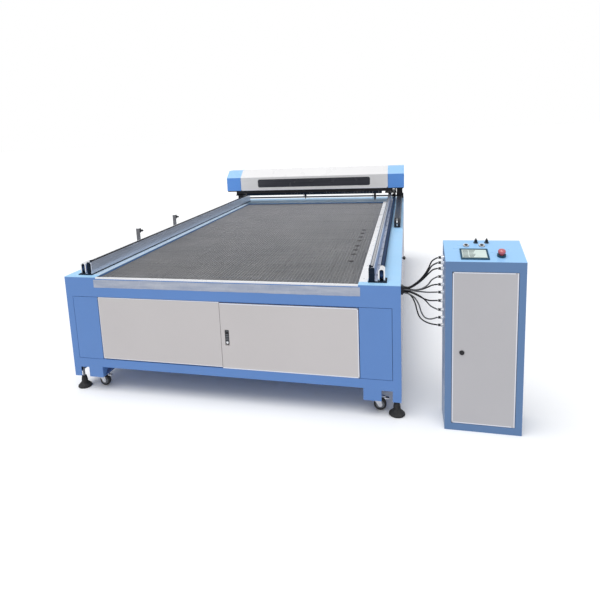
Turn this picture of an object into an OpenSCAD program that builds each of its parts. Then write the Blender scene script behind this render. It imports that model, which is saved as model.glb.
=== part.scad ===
// Twin-head gantry flatbed cutting machine with a free-standing control console.
// Millimetres, +Z up, +Y from the operator's side towards the rear.
// Shapes are laid out from the cabinet's front left corner on the floor, and
// in_machine() moves that corner so that the part's origin is the centre of
// its footprint on the floor.

/* [Cabinet] */
// Overall width of the cabinet
machine_w = 2200; // [2100:10:2500]
// Overall length of the cabinet
machine_l = 3960; // [3940:10:4300]
// Height of the deck above the floor
deck_z = 815; // [800:5:860]
// Thickness of the deck sheet
deck_t = 3; // [2:0.5:4]
// Thickness of the folded panels and doors
sheet_t = 2; // [1.5:0.25:3]
// Height of the underside of the legs
leg_z = 104; // [102:1:112]
// Height of the underside of the lower beams
beam_z = 180; // [172:1:190]
// Height of the lower beams
beam_h = 58; // [50:1:70]
// Height of the upper beams, from the door opening to the deck
head_beam_h = 132; // [110:1:150]
// Width of the beams seen from above
beam_w = 60; // [50:1:80]
// Width of the corner posts
post_w = 48; // [44:1:56]
// Depth of the corner posts
post_d = 80; // [70:1:100]
// Distance from the side of the cabinet to the door opening
column_w = 238; // [220:1:250]
// Gap between a door or cover and its frame
panel_gap = 2.5; // [2:0.1:3]

/* [Legs, feet and casters] */
// Width of a leg plate
leg_w = 220; // [210:1:225]
// Thickness of the leg plates
leg_t = 5; // [4:0.5:6]
// Distance from the side of the cabinet to the wrench notch
notch_x = 50; // [48:1:56]
// Width of the wrench notch in the leg plate
notch_w = 65; // [55:1:70]
// Distance of a levelling foot from the side of the cabinet
foot_x = 28; // [26:1:34]
// Distance of a levelling foot from the end of the cabinet
foot_y = 53; // [45:1:58]
// Diameter of a levelling pad
pad_d = 96; // [80:1:100]
// Height of a levelling pad
pad_h = 44; // [36:1:50]
// Diameter of the levelling stem
stem_d = 16; // [12:1:20]
// Distance of a caster's swivel axis from the side of the cabinet
caster_x = 150; // [145:1:155]
// Distance of a caster's swivel axis from the end of the cabinet
caster_y = 92; // [86:1:96]
// Diameter of a caster wheel
wheel_d = 75; // [65:1:76]
// Width of a caster wheel
wheel_w = 28; // [22:1:30]
// Trail of the caster wheel behind its swivel axis
trail = 22; // [16:1:26]
// Clearance of the lifted caster wheels above the floor
wheel_lift = 2.5; // [1:0.5:4]
// Diameter of a caster axle
axle_d = 8; // [6:0.5:10]

/* [Doors and bed] */
// Depth of the folded flanges of doors, covers and panels
flange = 16; // [14:1:20]
// Drop of the right door below the left one
door_drop = 7; // [0:1:7]
// Diameter of the hinge pins of the doors
pin_d = 5; // [4:0.5:6]
// Depth of the honeycomb panels
comb_t = 22; // [18:1:30]
// Depth of the honeycomb surface below the deck
bed_sink = 12; // [8:1:18]
// Distance of the bed's rear end from the rear of the cabinet
bed_back = 480; // [460:10:520]
// Number of honeycomb panels along the bed
comb_panels = 8; // [6:1:9]
// Pitch of the ribbon ridges of the honeycomb
ridge_pitch = 26; // [24:1:34]
// Height of the ribbon ridges of the honeycomb
ridge_h = 1.5; // [1:0.25:2]

/* [Rails and belt drive] */
// Distance from the side of the cabinet to the inner face of a rail
rail_in = 180; // [178:1:184]
// Width of the aluminium rail
rail_w = 32; // [30:1:36]
// Height of the aluminium rail
rail_h = 81; // [76:1:86]
// Distance of the rail's front end from the front of the cabinet
rail_front = 55; // [40:1:80]
// Distance of the rail's rear end from the rear of the cabinet
rail_back = 225; // [215:1:235]
// Width of the rail's mounting flange
rail_flange = 18; // [14:1:20]
// Width of the steel guide strip on the rail
guide_w = 12; // [10:0.5:16]
// Height of the steel guide strip on the rail
guide_h = 8; // [6:0.5:10]
// Pitch radius of the belt pulleys
pulley_r = 22; // [18:0.5:25]
// Width of the toothed belts
belt_w = 16; // [12:1:18]
// Thickness of the toothed belts
belt_t = 2.4; // [2:0.2:3]
// Diameter of the cross shaft
shaft_d = 20; // [16:1:24]

/* [Side posts] */
// Distance of the first side post from the front of the cabinet
side_post_y = 950; // [800:10:1100]
// Distance between the two side posts
side_post_pitch = 710; // [600:10:800]
// Height of a side post above the deck
side_post_h = 148; // [120:1:170]
// Width of a side post
side_post_w = 34; // [30:1:40]
// Distance of a side post from the side of the cabinet
side_post_x = 20; // [12:1:26]

/* [Gantry] */
// Overhang of the gantry beyond the side of the cabinet
overhang = 7; // [0:1:15]
// Distance from the rail's rear end to the front of the parked gantry
gantry_park = 373; // [365:1:376]
// Depth of the gantry cover
gantry_d = 400; // [380:5:410]
// Height of the lower edge of the gantry cover
gantry_z = 1000; // [990:1:1010]
// Height of the cover's vertical face
cover_face_h = 165; // [155:1:175]
// Overall height of the cover
cover_h = 251; // [235:1:265]
// Depth of the sloping shoulder of the cover
shoulder_d = 120; // [100:1:130]
// Length of the blue end caps
end_cap_l = 187; // [170:1:200]
// Gap between the left end cap and the window strip
window_gap_l = 228; // [210:1:280]
// Gap between the right end cap and the window strip
window_gap_r = 209; // [200:1:270]
// Height of the window strip
window_h = 101; // [80:1:110]
// Depth of the beam that carries the heads
x_beam_d = 140; // [120:1:150]
// Distance between the two cutting heads
head_pitch = 855; // [800:5:860]
// Distance from the centre of the bed to the left cutting head
head_x = -90; // [-120:5:-60]
// Diameter of the lens tube of a head
tube_d = 26; // [22:1:30]
// Height of the left nozzle tip above the deck
left_tip = 60; // [50:1:65]
// Height of the right nozzle tip above the deck
right_tip = 30; // [26:1:45]

/* [Energy chain] */
// Width of the energy chain
chain_w = 55; // [45:1:60]
// Height of one chain link
link_h = 22; // [18:1:24]
// Length of one chain link
link_pitch = 28; // [26:1:30]
// Number of chain links round the bend
bend_links = 3; // [3:2:5]
// Length of the straight chain run
chain_l = 1650; // [1600:10:1700]
// Distance of the chain's centre from the side of the cabinet
chain_x = 48; // [46:1:52]

/* [Console] */
// Gap between the machine and the console
console_gap = 234; // [230:1:240]
// Width of the console
console_w = 400; // [380:5:440]
// Depth of the console
console_d = 222; // [222:2:300]
// Distance of the console's front ahead of the machine's front
console_fwd = 55; // [40:1:70]
// Height of the console's front
console_h = 974; // [950:1:1000]
// Rise of the sloping panel
panel_rise = 70; // [60:1:76]
// Run of the sloping panel
panel_run = 208; // [200:1:214]
// Width of the console door opening
hatch_w = 330; // [300:1:340]
// Height of the console door opening
hatch_h = 877; // [840:1:880]
// Height of the lower edge of the console door opening
hatch_z = 42; // [36:1:60]
// Diameter of the push buttons
button_d = 22; // [18:1:24]
// Diameter of the selector knobs
selector_d = 15; // [14:1:18]
// Diameter of the emergency stop head
estop_d = 38; // [32:1:40]
// Diameter of the cabling between the machine and the console
cord_d = 8; // [6:0.5:9]

/* [Hidden] */
$fn = 48;

frame_blue = "cornflowerblue";
panel_grey = "gainsboro";
black = "#202022";
steel = "silver";

// Clearances
slip = 0.3;          // gap between pieces that slide past each other
run_fit = 0.1;       // radial clearance of pins and shafts in their bores
eps = 0.01;          // overshoot of cuts through a face

// Places that several modules share
bed_l = machine_l - bed_back;
rail_l = machine_l - rail_front - rail_back;
gantry_y = rail_front + rail_l - gantry_park;
console_x = machine_w + console_gap;
centre_x = (console_x + console_w + foot_x - pad_d / 2) / 2;
centre_y = (machine_l - console_fwd) / 2;
deck_under = deck_z - deck_t;
door_z0 = beam_z + beam_h;
door_z1 = deck_under - head_beam_h;
bed_top = deck_z - bed_sink;
bearer_h = 40;
bearer_top = bed_top - comb_t;
rail_base_t = 6;
rail_z = deck_z + rail_base_t;
rail_top = rail_z + rail_h;
guide_top = rail_top + guide_h;
belt_x = rail_in - rail_w - 40;
pulley_z = deck_z + rail_base_t + 8 + pulley_r + belt_t;
idler_y = rail_front + 34;
shaft_y = rail_front + rail_l + 55;
chain_r = link_pitch / (2 * sin(90 / bend_links));
chain_z = deck_z + slip;
chain_top = chain_z + 2 * chain_r + link_h;
gantry_back = gantry_y + gantry_d;
beam_y = gantry_y + 98;
head_y = gantry_y + 40;
loop_y = gantry_y + 78 - chain_l;
panel_tilt = atan2(panel_rise, panel_run);

// Places the corner of the cabinet
module in_machine() translate([-centre_x, -centre_y, 0]) children();

// Repeats a left-hand shape on the right-hand side of the cabinet
module both_sides() {
    children();
    translate([machine_w, 0, 0]) mirror([1, 0, 0]) children();
}

// Repeats a front shape at the rear of the cabinet
module both_ends() {
    children();
    translate([0, machine_l, 0]) mirror([0, 1, 0]) children();
}

// Block between two corners
module block(low, high) translate(low) cube(high - low);

// Cylinders along Y and X
module y_cylinder(d, l) rotate([-90, 0, 0]) cylinder(d = d, h = l);
module x_cylinder(d, l) rotate([0, 90, 0]) cylinder(d = d, h = l);

// Folded sheet tray: face at y = 0, flanges towards +Y
module tray(w, h, depth, t) {
    difference() {
        cube([w, depth, h]);
        translate([t, t, t]) cube([w - 2 * t, depth, h - 2 * t]);
    }
}

// Rectangle with round corners
module round_rect(w, h, r) {
    translate([r, 0]) square([w - 2 * r, h]);
    translate([0, r]) square([w, h - 2 * r]);
    for (x = [r, w - r], y = [r, h - r]) translate([x, y]) circle(r);
}

// ---------------------------------------------------------------- cabinet

// Rectangular ring of beams around the cabinet
module beam_ring(z, h) {
    difference() {
        block([0, 0, z], [machine_w, machine_l, z + h]);
        block([beam_w, beam_w, z - 1], [machine_w - beam_w, machine_l - beam_w, z + h + 1]);
    }
}

// Sheet leg below one corner: slotted front plate, side plate and caster shelf
module leg() {
    shelf_t = 6;
    shelf_d = 150;
    gusset_d = 100;
    difference() {
        block([0, 0, leg_z], [leg_w, leg_t, beam_z]);
        block([notch_x, -1, leg_z - 1], [notch_x + notch_w, leg_t + 1, beam_z - 8]);
    }
    block([0, leg_t, leg_z], [leg_t, shelf_d, beam_z]);
    block([notch_x + notch_w, leg_t, leg_z], [notch_x + notch_w + leg_t, shelf_d, beam_z]);
    block([notch_x + notch_w, leg_t, leg_z], [leg_w, shelf_d, leg_z + shelf_t]);
    translate([leg_w - leg_t, 0, 0]) rotate([90, 0, 90]) linear_extrude(leg_t)
        polygon([[leg_t, leg_z + shelf_t], [24, leg_z + shelf_t], [gusset_d, beam_z], [leg_t, beam_z]]);
}

mid_post_w = 60;
bearers = 9;
bearer_w = 40;
bearer_end = 40;
module frame() {
    bay = (machine_l - 2 * post_d - 2 * mid_post_w) / 3;
    color(frame_blue) in_machine() {
        beam_ring(beam_z, beam_h);
        beam_ring(door_z1, bearer_top - door_z1);
        // Upstand of the upper ring: side walls, front fascia and rear wall
        both_sides() block([0, 0, bearer_top], [beam_w, machine_l, deck_under]);
        both_sides() block([column_w - 40, beam_w, bearer_top - bearer_h], [column_w, bed_l, deck_under]);
        block([beam_w, 0, bearer_top], [machine_w - beam_w, 12, deck_under]);
        block([beam_w, bed_l, bearer_top - bearer_h], [machine_w - beam_w, bed_l + 40, deck_under]);
        block([beam_w, machine_l - beam_w, bearer_top], [machine_w - beam_w, machine_l, deck_under]);
        // Corner posts, door posts and side posts
        both_ends() both_sides() {
            block([0, 0, beam_z], [post_w, post_d, door_z1 + 1]);
            block([column_w - 52, flange, door_z0 - 1], [column_w - 12, post_d, door_z1 + 1]);
            leg();
        }
        both_sides() for (i = [1, 2])
            block([0, post_d + i * bay + (i - 1) * mid_post_w, door_z0 - 1],
                  [mid_post_w, post_d + i * (bay + mid_post_w), door_z1 + 1]);
        // Cross bearers under the honeycomb
        for (i = [0 : bearers - 1]) {
            y = beam_w + bearer_end + i * (bed_l - beam_w - bearer_w - 2 * bearer_end) / (bearers - 1);
            block([beam_w - 1, y, bearer_top - bearer_h], [machine_w - beam_w + 1, y + bearer_w, bearer_top]);
        }
        // Bottom shelf
        block([beam_w - 1, beam_w - 1, door_z0 - 4],
              [machine_w - beam_w + 1, machine_l - beam_w + 1, door_z0]);
        // Door stops
        block([column_w + 4, flange + 3, door_z0 - 1], [machine_w - column_w - 4, flange + 5, door_z0 + 14]);
        block([column_w + 4, flange + 3, door_z1 - 18], [machine_w - column_w - 4, flange + 5, door_z1 + 1]);
        // Seats of the fixed panels along the sides and at the rear
        for (z = [door_z0 - 1, door_z1 - 14]) {
            both_sides() block([flange, post_d - 1, z], [flange + 2, machine_l - post_d + 1, z + 15]);
            block([column_w - 13, machine_l - flange - 2, z],
                  [machine_w - column_w + 13, machine_l - flange, z + 15]);
        }
        // Hinge pins with their thrust collars
        door_pins(column_w + hinge_x, 0);
        door_pins(machine_w - column_w - hinge_x, door_drop);
    }
}

// Place of a door's pivot from the outer edge of its opening and from its face
hinge_x = panel_gap + 6;
hinge_y = pin_d / 2 + sheet_t + 1;
door_clear = 8;
module door_pins(x, drop) {
    low = door_z0 + door_clear - drop;
    high = door_z1 - panel_gap - drop;
    translate([x, hinge_y, door_z0 - 1]) cylinder(d = pin_d, h = low - door_z0 + 9);
    translate([x, hinge_y, door_z0 - 1]) cylinder(d = pin_d + 3, h = low - door_z0 + 1 - slip);
    translate([x, hinge_y, high - 8]) cylinder(d = pin_d, h = door_z1 - high + 9);
}

module deck() {
    color("lightskyblue") in_machine() difference() {
        block([0, 0, deck_under], [machine_w, machine_l, deck_z]);
        block([column_w, -1, deck_under - 1], [machine_w - column_w, bed_l, deck_z + 1]);
    }
}

// Blue infill beside the doors, front and rear
module column_covers() {
    w = column_w - post_w - 2 * panel_gap;
    color(frame_blue) in_machine() both_ends() both_sides()
        translate([post_w + panel_gap, 0, door_z0 + panel_gap])
            tray(w, door_z1 - door_z0 - 2 * panel_gap, flange, sheet_t);
}

// Grey fixed panels: three on each side and two at the rear
module body_panels() {
    bay = (machine_l - 2 * post_d - 2 * mid_post_w) / 3;
    h = door_z1 - door_z0 - 2 * panel_gap;
    rear_w = (machine_w - 2 * column_w - 3 * panel_gap) / 2;
    color(panel_grey) in_machine() {
        both_sides() for (i = [0 : 2])
            translate([0, post_d + i * (bay + mid_post_w) + bay - panel_gap, door_z0 + panel_gap])
                rotate([0, 0, -90]) tray(bay - 2 * panel_gap, h, flange, sheet_t);
        for (i = [0, 1])
            translate([machine_w - column_w - panel_gap - i * (rear_w + panel_gap),
                       machine_l, door_z0 + panel_gap])
                rotate([0, 0, 180]) tray(rear_w, h, flange, sheet_t);
    }
}

// Aluminium nosing along the front edge and flat strips along the bed
module bed_edge_trim() {
    strip_t = 2;
    color("white") in_machine() {
        translate([column_w, 0, 0]) {
            block([0, -1.5, deck_z - 10], [machine_w - 2 * column_w, 0, deck_z]);
            block([0, 0, deck_under], [machine_w - 2 * column_w, 13, deck_z]);
        }
        both_sides() block([rail_in + 8, rail_front, deck_z], [column_w, bed_l, deck_z + strip_t]);
    }
}

// Dark honeycomb panels, each with the ridges of its ribbons across the bed
module honeycomb_bed() {
    front = 13 + slip;
    w = machine_w - 2 * column_w - 2;
    l = (bed_l - front - 1) / comb_panels;
    ridges = floor((l - 12) / ridge_pitch);
    color("dimgray") in_machine() for (i = [0 : comb_panels - 1])
        translate([column_w + 1, front + i * l, bearer_top]) {
            cube([w, l - 0.5, comb_t - ridge_h]);
            for (k = [0 : ridges])
                translate([3, 3 + k * (l - 14) / ridges, 0]) cube([w - 6, 8, comb_t]);
        }
}

// ---------------------------------------------------------------- rails

// Profile of the aluminium rail: box section with grooves, a hollow and a foot flange
rail_foot_t = 5;
module rail_profile() {
    groove = 6;
    translate([rail_w - eps, 0]) square([rail_flange + eps, rail_foot_t]);
    difference() {
        square([rail_w, rail_h]);
        translate([5, 6]) square([rail_w - 10, rail_h - 16]);
        for (z = [rail_h * 0.3, rail_h * 0.7]) {
            translate([-1, z]) square([4, groove]);
            translate([rail_w - 3, z]) square([4, groove]);
        }
        translate([rail_w * 0.16, rail_h - 3]) square([4, 4]);
    }
}

module rails() {
    color("gainsboro") in_machine() both_sides() {
        translate([rail_in, rail_front, rail_z]) rotate([90, 0, 180])
            linear_extrude(rail_l) rail_profile();
        block([rail_in - rail_w + 8, rail_front + 20, rail_top],
              [rail_in - rail_w + 8 + guide_w, rail_front + rail_l, guide_top]);
    }
}

// Foot strips of the rails, the plates over their front ends and the buffers of the carriages
end_plate_w = [21, 34];
end_plate_t = 5;
buffer_d = 13;
pad_front = 8;
pad_l = 92;
module rail_base_plates() {
    foot_x = rail_in - rail_w - rail_flange - 3;
    pad_y = rail_front - pad_front;
    color(black) in_machine() {
        both_sides() {
            // Strip along the rail with a broad pad under the tensioner
            block([foot_x, pad_y, deck_z], [rail_in + 4, rail_front + rail_l, rail_z]);
            block([belt_x - 30, pad_y, deck_z], [foot_x, pad_y + pad_l, rail_z]);
            translate([rail_in - buffer_d / 2 - 1, rail_front + buffer_d / 2 + 2, rail_top])
                cylinder(d = buffer_d, h = guide_h + 5);
        }
        for (i = [0, 1])
            translate([i == 0 ? rail_in - rail_w : machine_w - rail_in - 1, rail_front - end_plate_t, rail_z])
                cube([end_plate_w[i], end_plate_t, rail_h - 3]);
    }
}

// Tensioner: round-topped fork with the axle of the front pulley and its tensioning screw
idler_axle_d = 10;
cheek_t = 8;
cheek_front = 24;
cheek_rear = 44;
arch_z = pulley_z + pulley_r + 1;
module arch(r, h) {
    translate([-r, 0]) square([2 * r, h]);
    translate([0, h]) circle(r);
}
module tensioner_blocks() {
    half_gap = belt_w / 2 + 4;
    color(steel) in_machine() both_sides() translate([belt_x, idler_y, 0]) {
        translate([0, cheek_rear, rail_z]) rotate([90, 0, 0]) linear_extrude(cheek_front + cheek_rear)
            difference() {
                arch(half_gap + cheek_t, arch_z - rail_z);
                translate([0, -1]) arch(half_gap, arch_z - rail_z + 1);
            }
        translate([-half_gap - cheek_t, 0, pulley_z]) x_cylinder(idler_axle_d, 2 * (half_gap + cheek_t));
        translate([0, -cheek_front - idler_axle_d, arch_z + half_gap + cheek_t / 2])
            y_cylinder(idler_axle_d / 2, idler_axle_d);
    }
}

// Closed toothed belt round the front and rear pulleys, teeth inside
module y_belts() {
    color(black) in_machine() both_sides()
        translate([belt_x - belt_w / 2, idler_y, pulley_z])
            belt_loop(shaft_y - idler_y, pulley_r + slip, belt_w);
}

// Belt loop in the YZ plane, from one pulley centre at y = 0 to one at y = l
module belt_loop(l, r, w) {
    rotate([90, 0, 90]) linear_extrude(w) {
        translate([0, r]) square([l, belt_t]);
        translate([0, -r - belt_t]) square([l, belt_t]);
        for (end = [0, 1]) translate([end * l, 0]) difference() {
            circle(r + belt_t, $fn = 64);
            circle(r, $fn = 64);
            translate([end == 0 ? 0 : -2 * r, -2 * r]) square([2 * r, 4 * r]);
        }
    }
}

// Toothed pulley with side flanges, bored for its axle, along X
module pulley(w, bore_d) {
    difference() {
        union() {
            x_cylinder(2 * pulley_r, w);
            for (x = [0, w - 1.5]) translate([x, 0, 0]) x_cylinder(2 * pulley_r + 3 * belt_t, 1.5);
        }
        translate([-1, 0, 0]) x_cylinder(bore_d, w + 2);
    }
}

module y_idler() {
    w = belt_w + 6;
    translate([belt_x - w / 2, idler_y, pulley_z]) pulley(w, idler_axle_d + 2 * run_fit);
}
module y_idler_left() color(black) in_machine() y_idler();
module y_idler_right() color(black) in_machine() translate([machine_w, 0, 0]) mirror([1, 0, 0]) y_idler();

// Cross shaft with both rear pulleys
module y_shaft() {
    w = belt_w + 6;
    left = belt_x - w / 2 - 30;
    color(steel) in_machine() {
        translate([left, shaft_y, pulley_z]) x_cylinder(shaft_d, machine_w - 2 * left + 4);
        both_sides() translate([belt_x - w / 2, shaft_y, pulley_z]) pulley(w, shaft_d + 2 * run_fit);
    }
}

// Pillow blocks and the geared motor of the cross shaft
module y_drive_mounts() {
    motor_x = machine_w - belt_x + (belt_w + 6) / 2 + 36;
    motor_w = 60;
    color(black) in_machine() {
        both_sides() for (x = [belt_x - belt_w / 2 - 29, belt_x + belt_w / 2 + 10])
            difference() {
                block([x, shaft_y - 22, deck_z], [x + 16, shaft_y + 22, pulley_z + 22]);
                translate([x - 1, shaft_y, pulley_z]) x_cylinder(shaft_d + 2 * run_fit, 18);
            }
        difference() {
            union() {
                block([motor_x, shaft_y - motor_w / 2, pulley_z - motor_w / 2],
                      [machine_w - 3, shaft_y + motor_w / 2, pulley_z + motor_w / 2]);
                block([motor_x - 6, shaft_y - motor_w / 2, deck_z],
                      [motor_x, shaft_y + motor_w / 2, pulley_z + motor_w / 2]);
            }
            translate([motor_x - 7, shaft_y, pulley_z]) x_cylinder(shaft_d + 2 * run_fit, 20);
        }
    }
}

// Grey angle posts with clamping knobs beside the left rail
post_foot_d = 24;
post_sheet_t = 5;
knob_d = 18;
knob_l = 20;
module side_posts() {
    post_top = deck_z + side_post_h;
    x1 = side_post_x + side_post_w;
    knob_z = post_top - knob_d;
    color("gray") in_machine() for (y = [side_post_y, side_post_y + side_post_pitch]) {
        block([side_post_x, y, deck_z], [x1, y + post_foot_d, deck_z + post_sheet_t]);
        block([side_post_x, y, deck_z], [x1, y + post_sheet_t, post_top]);
        block([x1 - 2 * post_sheet_t, y, knob_z - knob_d], [x1, y + post_foot_d, post_top]);
        translate([x1, y + post_foot_d / 2, knob_z]) {
            x_cylinder(knob_d, knob_l);
            x_cylinder(0.6 * knob_d, 1.3 * knob_l);
        }
    }
}

// ---------------------------------------------------------------- feet and casters

module foot_pads() {
    color(black) in_machine() both_ends() both_sides() translate([foot_x, foot_y, 0])
        rotate_extrude($fn = 64) polygon([
            [0, 0], [pad_d / 2 - 4, 0], [pad_d / 2, 5], [pad_d / 2 - 2, 12],
            [pad_d / 4, pad_h - 10], [pad_d / 4 - 4, pad_h], [0, pad_h]]);
}

// Levelling stems with lock nuts, and the steel plates of the casters
caster_plate_t = 4;
race_t = 4;
module foot_stems() {
    color(steel) in_machine() both_ends() both_sides() {
        translate([foot_x, foot_y, pad_h]) cylinder(d = stem_d, h = beam_z - pad_h);
        translate([foot_x, foot_y, beam_z - 14]) difference() {
            cylinder(d = 1.9 * stem_d, h = 14, $fn = 6);
            translate([0, 0, -1]) cylinder(d = stem_d - 0.5, h = 16);
        }
        translate([caster_x, caster_y, 0]) difference() {
            union() {
                block([-32, -42, leg_z - caster_plate_t], [46, 42, leg_z]);
                translate([0, 0, leg_z - caster_plate_t - race_t]) cylinder(d = 50, h = race_t);
            }
            translate([0, 0, leg_z - caster_plate_t - race_t - 1])
                cylinder(d = 10 + 2 * run_fit, h = caster_plate_t + race_t + 2);
        }
    }
}

// Fork with kingpin, axle and brake pedal, trailing towards +X
axle_z = wheel_d / 2 + wheel_lift;
module caster_fork() {
    top = leg_z - caster_plate_t - race_t - slip;
    cheek_y = wheel_w / 2 + 2;
    translate([0, 0, top - 4]) cylinder(d = 46, h = 4);
    translate([0, 0, top]) cylinder(d = 10, h = 5);
    for (side = [-1, 1]) translate([0, side > 0 ? cheek_y : -cheek_y - 3, 0])
        rotate([90, 0, 0]) mirror([0, 0, 1]) linear_extrude(3) {
            polygon([[-22, top - 2], [-22, top - 10], [trail - 14, axle_z - 2],
                     [trail + 14, axle_z - 2], [24, top - 10], [24, top - 2]]);
            translate([trail, axle_z]) circle(14);
        }
    block([-14, -cheek_y - 3, top - 6], [14, cheek_y + 3, top - 2]);
    translate([trail, -cheek_y - 8, axle_z]) y_cylinder(axle_d, 2 * cheek_y + 16);
    for (y = [-cheek_y - 8, cheek_y + 3]) translate([trail, y, axle_z]) y_cylinder(14, 5);
    // Brake pedal over the wheel
    block([16, -9, top - 6], [52, 9, top - 3]);
    block([50, -12, top - 18], [76, 12, top - 12]);
    block([50, -9, top - 18], [54, 9, top - 3]);
}

module caster_wheel() {
    translate([trail, 0, axle_z]) rotate([90, 0, 0]) rotate_extrude($fn = 64) polygon([
        [axle_d / 2 + run_fit, -wheel_w / 2 - 1], [12, -wheel_w / 2 - 1], [13, -wheel_w / 2 + 4],
        [wheel_d / 2 - 12, -wheel_w / 2 + 4], [wheel_d / 2 - 11, -wheel_w / 2],
        [wheel_d / 2 - 3, -wheel_w / 2], [wheel_d / 2, -wheel_w / 2 + 4],
        [wheel_d / 2, wheel_w / 2 - 4], [wheel_d / 2 - 3, wheel_w / 2],
        [wheel_d / 2 - 11, wheel_w / 2], [wheel_d / 2 - 12, wheel_w / 2 - 4],
        [13, wheel_w / 2 - 4], [12, wheel_w / 2 + 1], [axle_d / 2 + run_fit, wheel_w / 2 + 1]]);
}

// Moves a caster piece to its corner: column 0 or 1 across, row 0 or 1 along
module at_caster(column, row) {
    in_machine() translate([
        column == 0 ? caster_x : machine_w - caster_x,
        row == 0 ? caster_y : machine_l - caster_y, 0]) children();
}
module caster_fork_fl() color(steel) at_caster(0, 0) caster_fork();
module caster_fork_fr() color(steel) at_caster(1, 0) caster_fork();
module caster_fork_rl() color(steel) at_caster(0, 1) caster_fork();
module caster_fork_rr() color(steel) at_caster(1, 1) caster_fork();
module caster_wheel_fl() color(black) at_caster(0, 0) caster_wheel();
module caster_wheel_fr() color(black) at_caster(1, 0) caster_wheel();
module caster_wheel_rl() color(black) at_caster(0, 1) caster_wheel();
module caster_wheel_rr() color(black) at_caster(1, 1) caster_wheel();

// ---------------------------------------------------------------- doors

door_w = (machine_w - 2 * column_w - 3 * panel_gap) / 2;
door_h = door_z1 - door_z0 - door_clear - panel_gap;

// Left-hand door with its pivot holes, outer edge at x = 0
module door_leaf() {
    difference() {
        tray(door_w, door_h, flange, sheet_t);
        for (z = [-1, door_h - sheet_t - 1])
            translate([6, hinge_y, z]) cylinder(d = pin_d + 2 * run_fit, h = sheet_t + 2);
    }
}

module door_left() {
    color(panel_grey) in_machine()
        translate([column_w + panel_gap, 0, door_z0 + door_clear]) door_leaf();
}

// Latch pocket: distance from the door's inner edge, size and centre height
latch_w = 28;
latch_h = 104;
latch_x = machine_w / 2 + 27;
latch_z = 393;
latch_d = 12;
module door_right() {
    color(panel_grey) in_machine() {
        difference() {
            union() {
                translate([machine_w - column_w - panel_gap, 0, door_z0 + door_clear - door_drop])
                    mirror([1, 0, 0]) door_leaf();
                block([latch_x - 2, 0, latch_z - 2],
                  [latch_x + latch_w + 2, latch_d + 2, latch_z + latch_h + 2]);
            }
            block([latch_x, -1, latch_z], [latch_x + latch_w, latch_d, latch_z + latch_h]);
        }
        // Axle of the paddle
        translate([latch_x, 5, latch_z + latch_h - 7]) x_cylinder(4, latch_w);
    }
}

// Paddle with grip ribs
module latch_lever() {
    color("dimgray") in_machine() difference() {
        translate([latch_x + 2, 1.5, latch_z + 8]) {
            cube([latch_w - 4, 4, latch_h - 16]);
            for (k = [0 : 5]) translate([2, -1, 6 + k * 11]) cube([latch_w - 8, 1.5, 5]);
            translate([0, 3.5, latch_h - 15]) x_cylinder(9, latch_w - 4);
        }
        translate([latch_x, 5, latch_z + latch_h - 7]) x_cylinder(4 + 2 * run_fit, latch_w);
    }
}

// ---------------------------------------------------------------- gantry

// Outline of the gantry cover from the side: upright face, shoulder, top
function cover_outline(t) =
    let (slope = atan2(cover_h - cover_face_h, shoulder_d),
         knee = t * tan(slope / 2), brow = t * tan((90 - slope) / 2))
    [[t, 0], [t, cover_face_h - brow], [shoulder_d + knee, cover_h - t],
     [gantry_d - shoulder_d - knee, cover_h - t], [gantry_d - t, cover_face_h - brow], [gantry_d - t, 0]];

// Solid of the outline inset by t, from x0 to x1
module cover_core(t, x0, x1) {
    translate([x0, gantry_y, gantry_z]) rotate([90, 0, 90]) linear_extrude(x1 - x0)
        polygon(cover_outline(t));
}

cap_x0 = -overhang;
cap_x1 = end_cap_l - overhang;
lip = 16;
window_x = cap_x1 + window_gap_l;
window_w = machine_w - 2 * cap_x1 - window_gap_l - window_gap_r;
module gantry_cover() {
    color("whitesmoke") in_machine() difference() {
        union() {
            difference() {
                cover_core(0, cap_x1, machine_w - cap_x1);
                translate([0, 0, -eps]) cover_core(sheet_t, cap_x1 - 1, machine_w - cap_x1 + 1);
            }
            // Folded lips along the lower edges
            block([cap_x1, gantry_y, gantry_z], [machine_w - cap_x1, gantry_y + lip, gantry_z + sheet_t]);
            block([cap_x1, gantry_back - lip, gantry_z],
                  [machine_w - cap_x1, gantry_back, gantry_z + sheet_t]);
        }
        window_plate(window_x - slip, window_w + 2 * slip, window_h + 2 * slip, -1, sheet_t + 1);
    }
}

// Round-ended plate in the cover's face, from depth y0 to y1
window_z = gantry_z + 37;
module window_plate(x, w, h, y0, y1) {
    translate([x, gantry_y + y1, window_z - (h - window_h) / 2]) rotate([90, 0, 0])
        linear_extrude(y1 - y0) round_rect(w, h, h * 0.22);
}

module gantry_window() {
    rim = 8;
    color(black) in_machine() {
        window_plate(window_x, window_w, window_h, 0, sheet_t);
        window_plate(window_x - rim, window_w + 2 * rim, window_h + 2 * rim, sheet_t, sheet_t + 2);
    }
}

module gantry_end_caps() {
    color(frame_blue) in_machine() both_sides() difference() {
        cover_core(0, cap_x0, cap_x1);
        translate([0, 0, -eps]) cover_core(3, cap_x0 + 3, cap_x1 + 1);
    }
}

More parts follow.
